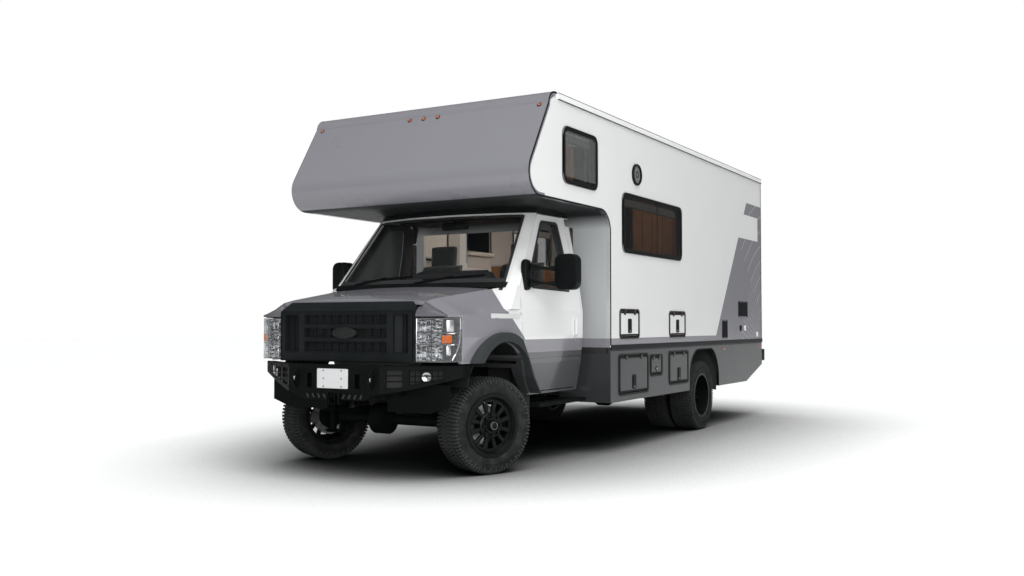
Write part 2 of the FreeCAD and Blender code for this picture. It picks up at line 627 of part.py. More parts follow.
def mirrors():
    """Left tow mirror: base on the door skin, two arms and an upright head."""
    c = cab_half
    base = prism_y([(c - 38, 1455), (c - 10, 1470), (c - 15, 1700), (c - 62, 1721)], 365, 480)
    skin = fuse([cab_lower(-seam), greenhouse(-seam)])
    base = base.cut(skin)
    head = prism_z(rounded(c + 83, c + 315, 660, 765, 40), 1466, 1772)
    arms = [rod((c - 25, 430, z), (c + 120, 700, z), 13) for z in (1520, 1650)]
    mirror = fuse([base, head] + [a.cut(skin) for a in arms])
    piece("mirror_left", mirror)
    piece("mirror_right", mirrored(mirror))


def cab_fittings():
    seats = []
    for x in (-450.0, 450.0):
        cushion = block(x - 240, x + 240, 640, 1140, 1000, 1130)
        back = prism_x([(1080, 1130), (1200, 1130), (1330, 1760), (1240, 1760)], x - 240, x + 240)
        head = prism_x([(1265, 1759), (1335, 1759), (1355, 1960), (1275, 1960)], x - 130, x + 130)
        foot = block(x - 200, x + 200, 680, 1100, cab_floor_z, 1001)
        seats.append(fuse([cushion, back, head, foot]))
    piece("cab_seats", *seats)
    y0 = cab_front + 40 + seam
    dash = prism_x([(y0, 1120), (520, 1120), (600, 1300), (560, 1430), (y0, 1470)],
                   -cab_half + 100, cab_half - 100).cut(block(-346, 346, 300, 700, 1100, 1291))
    wheel = Part.makeTorus(190, 16, V(450, 720, 1420), V(0, 0.9, 0.45))
    hub = rod((450, 560, 1340), (450, 725, 1422), 34)
    spoke = block(450 - 180, 450 + 180, 712, 728, 1404, 1436)
    piece("dashboard", fuse([dash, wheel, hub, spoke]))
    board = block(cab_half - 150, cab_half, 590, body_front - 46, 480, 510)
    arms = [block(frame_half + seam, cab_half - 140, y, y + 50, 482, 508) for y in (600.0, cab_rear - 62)]
    hang = [block(frame_half + seam, frame_half + 14, y, y + 50, 482, rail_bottom + 60) for y in (600.0, cab_rear - 62)]
    piece("running_boards", *both(fuse([board] + arms + hang)))


# ---------------------------------------------------------------- camper body
nose_low = (7.0, overcab_bottom + 264.5)       # (y, z) ends of the nose's slope
nose_high = (322.0, body_top - 106)
cap_rear = 450.0
cap_outline = [(cap_rear, body_top), (430, body_top), ("arc", (362, body_top - 27), nose_high), nose_low,
               ("arc", (12, overcab_bottom + 96.5), (185, overcab_bottom)), (260, overcab_bottom)]


def offset_cap(t):
    """Cap's line moved inwards by t, from the underside back up to the roof."""
    return [(260, overcab_bottom + t), (187, overcab_bottom + t),
            ("arc", (38, overcab_bottom + 106.5), (nose_low[0] + t * 1.02, nose_low[1] - 13)),
            (nose_high[0] + t * 1.05, nose_high[1] - 15),
            ("arc", (378, body_top - 50), (432, body_top - t)), (cap_rear, body_top - t)]


def side_outline(inset):
    """Side wall: behind the nose cap, above the waist."""
    under = body_top - roof_thickness
    r = inner_corner_radius
    k = r * 0.2929
    return [(body_rear, waist_z), (body_rear, under), (cap_rear, under),
            (432, under), ("arc", (385, body_top - 66), (nose_high[0] + inset * 1.15, nose_high[1] - 25)),
            (nose_low[0] + inset * 1.15, nose_low[1] - 18), ("arc", (45, overcab_bottom + 114.5), (187, overcab_bottom + inset + 2)),
            (260, overcab_bottom + inset + 2), (260, overcab_bottom),
            (body_front - r, overcab_bottom), ("arc", (body_front - k, overcab_bottom - k), (body_front, overcab_bottom - r)),
            (body_front, waist_z)]


def shared_out(widths, gaps, start, end):
    """(y0, y1) of each item of a row; the free length between start and end is shared out as the gaps are."""
    scale = (end - start - sum(widths)) / sum(gaps)
    spans, y = [], start
    for width, gap in zip(widths, gaps):
        y += gap * scale
        spans.append((y, y + width))
        y += width
    return spans


arch_front = wheelbase - 423
arch_rear = wheelbase + 519
arch_top = 894.0
UPPER_ROW = shared_out((463, 468), (198, 790, 153), body_front, arch_front)
LOWER_ROW = shared_out((700, 313, 559), (181, 57, 192, 70), body_front, arch_front)
# columns: name, (y0, y1), z0, z1 (outer edges of the hatch frames)
LEFT_HATCHES = [("locker_left_1", UPPER_ROW[0], 1041, 1321), ("locker_left_2", UPPER_ROW[1], 1040, 1315),
                ("locker_left_3", LOWER_ROW[0], 511, 898), ("locker_left_4", LOWER_ROW[1], 657, 878),
                ("locker_left_5", LOWER_ROW[2], 544, 899)]
RIGHT_HATCHES = [("locker_right_1", LOWER_ROW[0], 511, 898)]
HATCH_BORDER = 26.0
HATCH_THICKNESS = 22.0
HATCH_PROUD = 4.0
HATCH_PIN_RADIUS = 4.0
FRAME_PROUD = 6.0
FRAME_BAND = 34.0
# columns: y0, y1, z0, z1, corner radius (outer edges of the window frames)
NOSE_WINDOW = (body_front - 947, body_front - 287, overcab_bottom + 159.5, body_top - 255, 70)
window_low, window_high = 1854.0, 2417.0
LEFT_WINDOWS = [NOSE_WINDOW, (body_front + 268, body_front + 1808, window_low, window_high, 70)]
RIGHT_WINDOWS = [NOSE_WINDOW, (body_front + 268, body_front + 932, window_low, window_high, 70),
                 (wheelbase - 113, wheelbase + 887, window_low, window_high, 70)]
REAR_WINDOW = (-450, 450, window_low, window_high, 70)
ENTRY_DOOR = (body_front + 1182, body_front + 1862, waist_z + 35, body_top - 236)
ENTRY_PIN_RADIUS = 7.0
ENTRY_WINDOW = (ENTRY_DOOR[0] + 140, ENTRY_DOOR[1] - 140, ENTRY_DOOR[3] - 1010, ENTRY_DOOR[3] - 360, 60)
WHEEL_ARCH = [(arch_front, skirt_z - 20), (arch_front, 640), ("arc", (arch_front + 90, 820), (arch_front + 270, arch_top)),
              (arch_rear - 238, arch_top), ("arc", (arch_rear - 92, 800), (arch_rear, 600)), (arch_rear, skirt_z - 20)]


def hatch(y0, y1, z0, z1):
    """Left hatch door with two hinge barrels that lie against the frame's face above it."""
    n = HATCH_BORDER
    face = body_half + HATCH_PROUD
    door = prism_x(rounded(y0 + n, y1 - n, z0 + n, z1 - n, 24), face - HATCH_THICKNESS, face)
    x_pin, z_pin = hatch_pin(z1)
    parts = [door]
    for y in (y0 + (y1 - y0) * 0.25, y1 - (y1 - y0) * 0.25):
        parts.append(rod((x_pin, y - 20, z_pin), (x_pin, y + 20, z_pin), HATCH_PIN_RADIUS))
        parts.append(block(x_pin - 3, x_pin, y - 20, y + 20, z1 - n - 6, z_pin))
        parts.append(block(face - 1, x_pin, y - 20, y + 20, z1 - n - 30, z1 - n - 4))
    return fuse(parts)


def hatch_pin(z1):
    """Hinge axis (x, z) of a left hatch whose frame ends at z1."""
    return body_half + FRAME_PROUD + seam + HATCH_PIN_RADIUS, z1 - HATCH_BORDER + 10


def body():
    x_in = body_half - wall
    left = prism_x(side_outline(cap_thickness), x_in, body_half)
    right = mirrored(left)
    skirt = prism_x([(body_front, waist_z - 0.0), (body_front, skirt_z), (kick_start_y, skirt_z),
                     (body_rear, kick_z), (body_rear, waist_z)], body_half - skirt_thickness, body_half)
    skirt = skirt.cut(prism_x(WHEEL_ARCH, body_half - 200, body_half + 70))
    skirt_left, skirt_right = skirt, mirrored(skirt)
    frames = []
    for table, sign in ((LEFT_HATCHES, 1), (RIGHT_HATCHES, -1)):
        for name, (y0, y1), z0, z1 in table:
            upper = z0 > waist_z
            t = wall if upper else skirt_thickness
            cut = prism_x(rounded(y0 + 10, y1 - 10, z0 + 10, z1 - 10, 34), body_half - t - 5, body_half + 5)
            ring = prism_x(rounded(y0, y1, z0, z1, 44), body_half, body_half + FRAME_PROUD).fuse(
                prism_x(rounded(y0 + 10, y1 - 10, z0 + 10, z1 - 10, 34), body_half - t, body_half))
            g = HATCH_BORDER - door_gap
            ring = ring.cut(prism_x(rounded(y0 + g, y1 - g, z0 + g, z1 - g, 30), body_half - t - 5, body_half + 9))
            door = hatch(y0, y1, z0, z1)
            if sign < 0:
                cut, ring, door = mirrored(cut), mirrored(ring), mirrored(door)
            if upper and sign > 0:
                left = left.cut(cut)
            elif upper:
                right = right.cut(cut)
            elif sign > 0:
                skirt_left = skirt_left.cut(cut)
            else:
                skirt_right = skirt_right.cut(cut)
            frames.append(ring)
            piece(name, door)
    win_frames, panes = [], []
    for table, sign in ((LEFT_WINDOWS, 1), (RIGHT_WINDOWS, -1)):
        for y0, y1, z0, z1, r in table:
            hole = prism_x(rounded(y0 + 10, y1 - 10, z0 + 10, z1 - 10, r - 10), x_in - 5, body_half + 5)
            ring = prism_x(rounded(y0, y1, z0, z1, r), body_half, body_half + 12).fuse(
                prism_x(rounded(y0 + 10, y1 - 10, z0 + 10, z1 - 10, r - 10), x_in, body_half))
            b = FRAME_BAND
            inside = rounded(y0 + b, y1 - b, z0 + b, z1 - b, r - b + 8)
            ring = ring.cut(prism_x(inside, x_in - 5, body_half + 20))
            pane = prism_x(inside, body_half + 2, body_half + 2 + glass_thickness)
            if sign < 0:
                hole, ring, pane = mirrored(hole), mirrored(ring), mirrored(pane)
                right = right.cut(hole)
            else:
                left = left.cut(hole)
            win_frames.append(ring)
            panes.append(pane)
    y0, y1, z0, z1 = ENTRY_DOOR
    right = right.cut(prism_x(rounded(y0, y1, z0, z1, 60), -body_half - 5, -x_in + 5))
    door = prism_x(rounded(y0 + door_gap, y1 - door_gap, z0 + door_gap, z1 - door_gap, 54), -body_half - 2, -x_in)
    wy0, wy1, wz0, wz1, wr = ENTRY_WINDOW
    hole = prism_x(rounded(wy0, wy1, wz0, wz1, wr), -body_half - 5, -x_in + 5)
    pin_x, pin_y = -(body_half + seam + ENTRY_PIN_RADIUS), y0 - 3
    knuckles = []
    for z in (z0 + 200, (z0 + z1) / 2, z1 - 200):
        knuckles.append(rod((pin_x, pin_y, z - 50), (pin_x, pin_y, z + 50), ENTRY_PIN_RADIUS))
        knuckles.append(block(pin_x, -body_half - 1, y0 + door_gap, y0 + 50, z - 50, z + 50))
        knuckles.append(block(pin_x, pin_x + 4, pin_y, pin_y + 20, z - 50, z + 50))
    piece("entry_door", fuse([door.cut(hole)] + knuckles))
    piece("entry_door_glass", prism_x(rounded(wy0, wy1, wz0, wz1, wr), -body_half + 4, -body_half + 10))
    x0, x1, z0, z1, r = REAR_WINDOW
    hole = prism_y(rounded(x0 + 10, x1 - 10, z0 + 10, z1 - 10, r - 10), body_rear - wall - 5, body_rear + 5)
    ring = prism_y(rounded(x0, x1, z0, z1, r), body_rear, body_rear + 12).fuse(
        prism_y(rounded(x0 + 10, x1 - 10, z0 + 10, z1 - 10, r - 10), body_rear - wall, body_rear))
    b = FRAME_BAND
    inside = rounded(x0 + b, x1 - b, z0 + b, z1 - b, r - b + 8)
    win_frames.append(ring.cut(prism_y(inside, body_rear - wall - 5, body_rear + 20)))
    panes.append(prism_y(inside, body_rear + 2, body_rear + 8))
    rear = block(-x_in, x_in, body_rear - wall, body_rear, waist_z, body_top - roof_thickness).cut(hole)
    piece("side_wall_left", left)
    piece("side_wall_right", right)
    piece("rear_wall", rear)
    piece("opening_frames", *win_frames, *frames)
    piece("window_glass", *panes)

    front_return = [block(*sorted((s * (body_half - 529), s * (body_half - skirt_thickness))), body_front, body_front + 20,
                          skirt_z, waist_z - floor_thickness) for s in (1, -1)]
    rear_return = [block(*sorted((s * 480, s * (body_half - skirt_thickness))), body_rear - 20, body_rear,
                         kick_z + 5, waist_z - floor_thickness) for s in (1, -1)]
    piece("skirts", fuse([skirt_left, front_return[0], rear_return[0]]), fuse([skirt_right, front_return[1], rear_return[1]]))


def body_shell():
    x_in = body_half - wall
    roof = block(-body_half, body_half, cap_rear, body_rear, body_top - roof_thickness, body_top)
    piece("roof", roof)
    cap = prism_x(cap_outline + offset_cap(cap_thickness), -body_half, body_half)
    piece("overcab_cap", cap)
    nose_floor = block(-x_in, x_in, 260, body_front - inner_corner_radius, overcab_bottom, overcab_bottom + 40)
    k = inner_corner_radius * 0.2929
    r = inner_corner_radius
    front = prism_x([(body_front - r, overcab_bottom), ("arc", (body_front - k, overcab_bottom - k), (body_front, overcab_bottom - r)),
                     (body_front, waist_z), (body_front + wall, waist_z), (body_front + wall, overcab_bottom + 40),
                     (body_front - r, overcab_bottom + 40)], -x_in, x_in)
    front = front.cut(block(-850, 850, body_front - 10, body_front + wall + 10, waist_z + 20, overcab_bottom - 50))
    piece("front_wall", fuse([front, nose_floor]))
    piece("floor", block(-x_in, x_in, body_front, body_rear, waist_z - floor_thickness, waist_z))
    rails = [block(body_half, body_half + 12, body_front + 8, body_rear - 6, waist_z - 22, waist_z + 22)]
    rails.append(block(body_half, body_half + 14, 486, body_rear, body_top - 57, body_top))
    piece("side_rails", *[s for rail in rails for s in both(rail)])


def body_fittings():
    x0 = body_half
    covers = [block(x0, x0 + 8, wheelbase + 672, wheelbase + 843, 1010, 1224),
              block(x0, x0 + 8, wheelbase + 1293, wheelbase + 1645, 1268, 1461)]
    # columns: y, z, radius, thickness
    for y, z, radius, deep in ((body_front + 605, window_high + 205, 104, 24), (wheelbase + 1373, 1127, 36, 12),
                               (wheelbase + 1553, 1127, 34, 12), (wheelbase + 2073, 1046, 34, 12)):
        covers.append(rod((x0, y, z), (x0 + deep, y, z), radius))
    piece("service_covers", *covers)
    lamps = []
    low, high = V(0, *nose_low), V(0, *nose_high)
    rise = (high - low).normalize()
    out = V(0, -rise.z, rise.y)
    for x in (79 - body_half, -150.0, 0.0, 150.0, body_half - 79):
        lamps.append(Part.makeCylinder(20, 14, high - rise * 20 + V(x, 0, 0), out))
    for x in (109 - body_half, body_half - 169):
        lamps.append(block(x, x + 60, body_rear, body_rear + 20, waist_z + 75, waist_z + 365))
    piece("lamps", *lamps)
    x_r = body_half - 40
    bumper = block(-x_r, x_r, body_rear + 8, body_rear + rear_bumper_reach, 696, 847)
    arms = [block(*sorted((s * (frame_half - 70), s * (frame_half - 4))), body_rear - 40 + seam, body_rear + 10,
                  700, 790) for s in (1, -1)]
    piece("rear_bumper", fuse([bumper] + arms))
    floor_under = waist_z - floor_thickness
    flap = block(body_half - 529, body_half - 40, wheelbase + 547, wheelbase + 553, 411, floor_under)
    splash = block(cab_half - 440, cab_half - 95, arch_back + 45, arch_back + 53, 340, sill_z)
    piece("mud_flaps", *both(flap), *both(splash))
    vents = [block(-250, 250, y, y + 500, body_top, body_top + 60) for y in (body_front + 182, wheelbase + 687)]
    panels = [block(-550, 550, y, y + 1000, body_top, body_top + 35) for y in (body_front + 932, body_front + 2032)]
    piece("roof_fittings", *(vents + panels))
    x0 = -body_half + wall
    after_door = ENTRY_DOOR[1] + 20
    units = [block(x0, x0 + 429, after_door, body_rear - 396, waist_z, waist_z + 900),
             block(x0, x0 + 329, after_door + 600, body_rear - 396, body_top - 596, body_top - roof_thickness),
             block(x0, x0 + 489, body_front + 82, body_front + 732, waist_z, waist_z + 450)]
    piece("cabinets", *units)

    # compartments behind the lower hatches: inside open towards the hatch
    x_out, x_back, t = body_half - skirt_thickness - seam, frame_half + 40, 12.0
    top = floor_under - 46
    boxes = []
    for sign, first, last in ((1, 0, 1), (1, 2, 2), (-1, 0, 0)):
        y0, y1, z0 = LOWER_ROW[first][0] - 9, LOWER_ROW[last][1] + 11, skirt_z + 40
        box = block(x_back, x_out, y0, y1, z0, top).cut(block(x_back + t, x_out + 5, y0 + t, y1 - t, z0 + t, top - t))
        boxes.append(box if sign > 0 else mirrored(box))
    piece("storage_boxes", *boxes)


def export():
    os.makedirs("parts", exist_ok=True)
    length = front_overhang + body_rear + rear_bumper_reach
    shift = V(0, front_overhang - length / 2, 0)
    for name, shape in PARTS.items():
        moved = shape.copy()
        moved.translate(shift)
        if not moved.isValid() or min(s.Volume for s in moved.Solids) <= 0:
            print("invalid", name)
        moved.exportStep("parts/%s.step" % name)
    whole = Part.Compound([s for s in PARTS.values()]).BoundBox
    print("nodes", len(PARTS), "box", whole)


wheels()
front_axle()
rear_axle()
chassis_frame()
cross_members()
running_gear()
cab()
hood()
wing = front_wings()
grille()
headlamps()
flares(wing)
front_bumper()
mirrors()
cab_fittings()
body()
body_shell()
body_fittings()
export()
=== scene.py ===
"""Motorhome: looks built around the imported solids, laid out as an add-on with one operator per group of pieces.

Shapes are written in millimetres from the front axle line on the ground; X points to the vehicle's left and
Y to its tail. Finished pieces are moved into the frame's metres as their last step.
"""
import json
import math

import bmesh
import bpy
from bpy.props import FloatProperty, FloatVectorProperty, IntProperty, PointerProperty
from mathutils import Matrix, Vector

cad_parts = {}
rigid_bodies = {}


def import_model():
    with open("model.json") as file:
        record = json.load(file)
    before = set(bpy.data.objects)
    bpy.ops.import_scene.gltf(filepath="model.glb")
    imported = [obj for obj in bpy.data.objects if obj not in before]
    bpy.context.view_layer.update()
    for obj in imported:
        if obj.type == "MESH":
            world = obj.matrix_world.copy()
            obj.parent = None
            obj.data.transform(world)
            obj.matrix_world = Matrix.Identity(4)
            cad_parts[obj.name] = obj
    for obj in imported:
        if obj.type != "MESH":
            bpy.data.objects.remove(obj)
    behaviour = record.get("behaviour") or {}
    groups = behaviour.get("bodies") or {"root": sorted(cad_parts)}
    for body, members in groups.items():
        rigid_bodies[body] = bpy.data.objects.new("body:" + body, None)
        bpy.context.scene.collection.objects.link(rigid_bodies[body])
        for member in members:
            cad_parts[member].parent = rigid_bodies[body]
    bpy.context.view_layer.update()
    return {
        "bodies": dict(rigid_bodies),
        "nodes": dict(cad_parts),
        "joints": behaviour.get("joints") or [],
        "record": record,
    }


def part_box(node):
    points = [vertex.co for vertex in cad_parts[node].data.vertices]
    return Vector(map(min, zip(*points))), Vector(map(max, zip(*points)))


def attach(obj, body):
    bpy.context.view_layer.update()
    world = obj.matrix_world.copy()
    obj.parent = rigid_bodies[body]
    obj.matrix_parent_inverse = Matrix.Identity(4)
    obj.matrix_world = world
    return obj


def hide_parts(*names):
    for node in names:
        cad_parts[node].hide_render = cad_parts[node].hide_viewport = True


bl_info = {
    "name": "Motorhome Dresser",
    "version": (1, 0, 0),
    "blender": (4, 5, 0),
    "location": "View3D > Sidebar > Motorhome",
    "description": "Dresses the packed motorhome with paint, glass, tyres, lamps and cabin parts",
    "category": "Object",
}

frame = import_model()
NODES = frame["nodes"]
JOINTS = {joint["name"]: joint for joint in frame["joints"]}
AXLE_Y = JOINTS["steer_left"]["pos_m"][1]
REAR_AXLE = (JOINTS["spin_rear_left"]["pos_m"][1] - AXLE_Y) * 1000
FROM_MM = Matrix.Translation((0, AXLE_Y, 0)) @ Matrix.Scale(0.001, 4)
ALONG_X = (1, 0, 0)
MIRROR = Matrix.Scale(-1, 4, ALONG_X)
SIDES = (("left", 1), ("right", -1))
FLIP = {1: None, -1: MIRROR}                      # place of a piece drawn on the left, by side


def node_box(node):
    """Lowest and highest corner of a solid in millimetres from the front axle line."""
    low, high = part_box(node)
    return [Vector((p.x * 1000, (p.y - AXLE_Y) * 1000, p.z * 1000)) for p in (low, high)]


WALL_X = node_box("side_wall_left")[1].x          # outer face of the body's side
WALL_FRONT = node_box("skirts")[0].y              # front edge of the living body
WALL_REAR = node_box("rear_wall")[1].y
ROOF_Z = node_box("roof")[1].z
WAIST_Z = node_box("side_wall_left")[0].z
NOSE_Z = node_box("front_wall")[1].z - 40
TYRE_R = node_box("tyre_front_left")[1].z / 2
SKIRT_Z = node_box("skirts")[0].z
CAB_X = node_box("cab_shell")[1].x

# heights and places for the paints, in metres as the finishes read them
BODY_FRONT, NOSE, CAB_SIDE = WALL_FRONT / 1000, NOSE_Z / 1000, CAB_X / 1000
WALL_OUT = WALL_X / 1000
HINGE_LEAF = WALL_OUT + 0.0052                    # what stands out further than this is a hinge leaf
STRIPE_LOW, STRIPE_TOP = 0.985, 1.047             # violet stripe over the waist rail
CAB_STRIPE_LOW, CAB_STRIPE_TOP = 0.945, 1.052     # the same stripe on the cab
PAINTED_SHADE_GREY = (0.42, 0.435, 0.44)                 # painted shade: the white front wall and returns as grey under the overhang
PAINTED_SHADE_BLACK = (0.018, 0.021, 0.022)              # painted shade: undersides of the overhang near black


# ---- sizes and colours a user may change
def colour_prop(name, description, default):
    return FloatVectorProperty(name=name, description=description, default=default, size=3, min=0, max=1,
                               subtype="COLOR")


def size_prop(name, description, default, low, high):
    return FloatProperty(name=name, description=description, default=default, min=low, max=high)


class MOTORHOME_PG_colours(bpy.types.PropertyGroup):
    """Colours of the vehicle's finishes, linear."""
    body_white: colour_prop("Body white", "Gel coat of walls and doors", (0.8, 0.805, 0.8))
    livery: colour_prop("Livery", "Warm grey-violet of the nose, hood and stripes", (0.214, 0.213, 0.234))
    band: colour_prop("Band", "Dark grey of the cab's lower band and the skirts", (0.074, 0.079, 0.083))
    black: colour_prop("Black trim", "Textured black of grille, rails and flares", (0.0095, 0.0115, 0.0124))
    steel: colour_prop("Black steel", "Powder coat of bumpers and frame", (0.0028, 0.0036, 0.0036))
    rubber: colour_prop("Rubber", "Tyre walls", (0.0105, 0.0112, 0.0115))
    cabin: colour_prop("Cabin trim", "Lining of cab and living room", (0.56, 0.525, 0.49))
    timber: colour_prop("Timber", "Furniture fronts", (0.33, 0.15, 0.055))
    amber: colour_prop("Amber", "Turn and marker lenses", (0.52, 0.105, 0.004))
    red: colour_prop("Red", "Tail lenses", (0.55, 0.02, 0.02))


class MOTORHOME_PG_sizes(bpy.types.PropertyGroup):
    """Sizes of the added pieces."""
    tread_pitches: IntProperty(name="Tread pitches", description="Tread blocks round a tyre", default=40, min=20,
                               max=90)
    tread_depth: size_prop("Tread depth", "Depth of the tread grooves in mm", 10, 2, 20)
    trim_width: size_prop("Trim width", "Width of the black edge trim in mm", 15, 3, 40)
    wiper_length: size_prop("Wiper length", "Length of a wiper blade in mm", 560, 200, 800)
    lens: size_prop("Lens", "Camera focal length in mm", 35.335, 10, 200)


def colours():
    return bpy.context.scene.motorhome_colours


def sizes():
    return bpy.context.scene.motorhome_sizes


# ---- finishes
class Value:
    """A node socket; arithmetic on it adds Math nodes."""

    def __init__(self, finish, socket):
        self.finish, self.socket = finish, socket

    def math(self, operation, *others, **settings):
        return self.finish.node("ShaderNodeMath", dict(settings, operation=operation), self, *others)

    def __add__(self, other):
        return self.math("ADD", other)

    def __sub__(self, other):
        return self.math("SUBTRACT", other)

    def __rsub__(self, other):
        return self.finish.node("ShaderNodeMath", {"operation": "SUBTRACT"}, other, self)

    def __mul__(self, other):
        return self.math("MULTIPLY", other)

    def __abs__(self):
        return self.math("ABSOLUTE")

    def __pow__(self, other):
        return self.math("POWER", other)

    __radd__, __rmul__ = __add__, __mul__

    def above(self, edge, soft=0.0012):
        """1 where the value is over edge, 0 under it."""
        return ((self - edge) * (1 / soft)).math("ADD", 0.5, use_clamp=True)

    def below(self, edge, soft=0.0012):
        return 1 - self.above(edge, soft)

    def between(self, low, high, soft=0.0012):
        return self.above(low, soft) * self.below(high, soft)

    def either(self, other):
        return self.math("MAXIMUM", other)


class Finish:
    """A procedural material. Values that are the same all over are set on the shader's own sockets."""
    made = {}

    def __init__(self, name, **settings):
        self.material = bpy.data.materials.new(name)
        self.material.use_nodes = True
        self.tree = self.material.node_tree
        self.shader = self.tree.nodes["Principled BSDF"]
        self.set(**settings)
        self._point = None
        Finish.made[name] = self.material

    def set(self, **settings):
        """Sockets of the main shader by name, with _ for a space."""
        for key, value in settings.items():
            self.plug(self.shader.inputs[key.replace("_", " ").title().replace("Ior", "IOR")], value)
        return self

    def plug(self, socket, value):
        if isinstance(value, Value):
            self.tree.links.new(value.socket, socket)
        elif hasattr(socket.default_value, "__len__") and hasattr(value, "__len__"):
            socket.default_value = (*value, 1.0)[:len(socket.default_value)]
        else:
            socket.default_value = value

    def node(self, kind, settings=None, *inputs, out=0, **named):
        """Makes a node: settings first, then sockets by place or by name. Gives its output."""
        made = self.tree.nodes.new(kind)
        for key, value in (settings or {}).items():
            setattr(made, key, value)
        for socket, value in zip(made.inputs, inputs):
            self.plug(socket, value)
        for key, value in named.items():
            self.plug(made.inputs[key.replace("_", " ").title()], value)
        return Value(self, made.outputs[out])

    def mix(self, factor, first, second):
        """Colour between first and second."""
        made = self.node("ShaderNodeMix", {"data_type": "RGBA"}, factor, out=2)
        sockets = made.socket.node.inputs
        self.plug(sockets[6], first)
        self.plug(sockets[7], second)
        return made

    @property
    def point(self):
        """The object's own coordinates: a vector socket."""
        if self._point is None:
            self._point = self.node("ShaderNodeTexCoord", out="Object")
        return self._point

    def axes(self):
        """x, y from the front axle line and z, all in metres."""
        made = self.node("ShaderNodeSeparateXYZ", None, self.point)
        outs = made.socket.node.outputs
        return Value(self, outs[0]), Value(self, outs[1]) - AXLE_Y, Value(self, outs[2])

    def noise(self, scale, detail=2.0, vector=None, roughness=0.5):
        return self.node("ShaderNodeTexNoise", None, vector or self.point, scale=scale, detail=detail,
                         roughness=roughness)

    def stretched(self, scale):
        """Object coordinates multiplied by a scale per axis."""
        return self.node("ShaderNodeMapping", None, self.point, scale=scale)

    def bump(self, height, distance, strength=1.0):
        return self.set(normal=self.node("ShaderNodeBump", None, height=height, distance=distance, strength=strength))


def finish(name):
    return Finish.made[name]


def shaded(colour, share):
    """The colour made darker or lighter by a share."""
    return [min(1, v * share) for v in colour]


def coat(name, colour, rough=0.3, **settings):
    """Paint or gel coat: faint shade variation and an orange-peel surface."""
    f = Finish(name, coat_weight=0.35, coat_roughness=0.06, **settings)
    grain = f.noise(3.1, 4)
    f.set(roughness=grain * 0.1 + (rough - 0.05))
    shade = (grain - 0.5) * 0.05
    f.set(base_color=f.mix(shade + 0.5, shaded(colour, 0.94), shaded(colour, 1.06)))
    f.bump(f.noise(420, 2), 0.00012)
    return f


def dusty(f, colour, amount, scale=6.0):
    """Colour with patches of dry dust."""
    patches = f.noise(scale, 5).above(0.58, 0.35) * (amount * 0.5)
    return f.mix(patches, colour, (0.15, 0.145, 0.14))


def textured(name, colour, rough=0.55, grain=900, depth=0.0002, dust=0.06, **settings):
    """Moulded plastic or powder coat with a fine grain."""
    f = Finish(name, **{"specular_ior_level": 0.07, **settings})
    f.set(base_color=dusty(f, colour, dust), roughness=f.noise(9, 3) * 0.16 + (rough - 0.08))
    f.bump(f.noise(grain, 3), depth)
    return f


def wall_paint(name, livery_side):
    """Body paint; the sides carry the slanted violet block with pale rays and a stripe over the rail."""
    c = colours()
    f = Finish(name, coat_weight=0.4, coat_roughness=0.05)
    x, y, z = f.axes()
    patches = f.noise(1.7, 4)
    base = f.mix(patches, shaded(c.body_white, 0.965), c.body_white)
    if livery_side:
        slant = y - 4.452 - (z - 1.037) * 0.7207            # distance behind the block's front edge
        block = slant.above(0) * z.below(2.72) * z.above(STRIPE_LOW)
        notch = z.between(2.256, 2.562) * y.below(6.143) * slant.above(-1)
        block = block * (1 - notch)
        # pale rays fan out of a point low on the block's rear edge
        dy, dz = y - 6.9, z - 0.6
        angle = dz.math("ARCTAN2", dy)
        reach = (dy * dy + dz * dz) ** 0.5
        spoke = abs((angle * 19).math("FRACT") - 0.5).below(0.045, 0.02)
        rings = abs((reach * 5.5).math("FRACT") - 0.5).below(0.035, 0.02) * angle.math("SINE").above(0.72, 0.002)
        lines = (spoke * reach.between(0.9, 1.52)).either(rings) * block
        stripe = z.between(STRIPE_LOW, STRIPE_TOP) * slant.below(0)
        mask = block.either(stripe)
        tint = f.mix(lines * 0.42, c.livery, (0.62, 0.6, 0.66))
        shown = f.mix(mask, base, tint)
        # front edge face of the side wall: livery below the stripe, painted shade grey above it, darkening to painted
        # shade black towards the overhang
        edge = f.mix(z.above(NOSE - 0.09, 0.12), f.mix(z.below(STRIPE_TOP), PAINTED_SHADE_GREY, c.livery), PAINTED_SHADE_BLACK)
        inner = y.above(BODY_FRONT + 0.012).either(z.above(NOSE + 0.06))
        base = f.mix(abs(x).below(WALL_OUT - 0.003), shown, f.mix(inner, edge, c.cabin))
        base = f.mix(abs(x).above(HINGE_LEAF, 0.0004), base, c.black)
    f.set(base_color=base, roughness=patches * 0.08 + 0.2)
    f.bump(f.noise(380, 2), 0.0001)


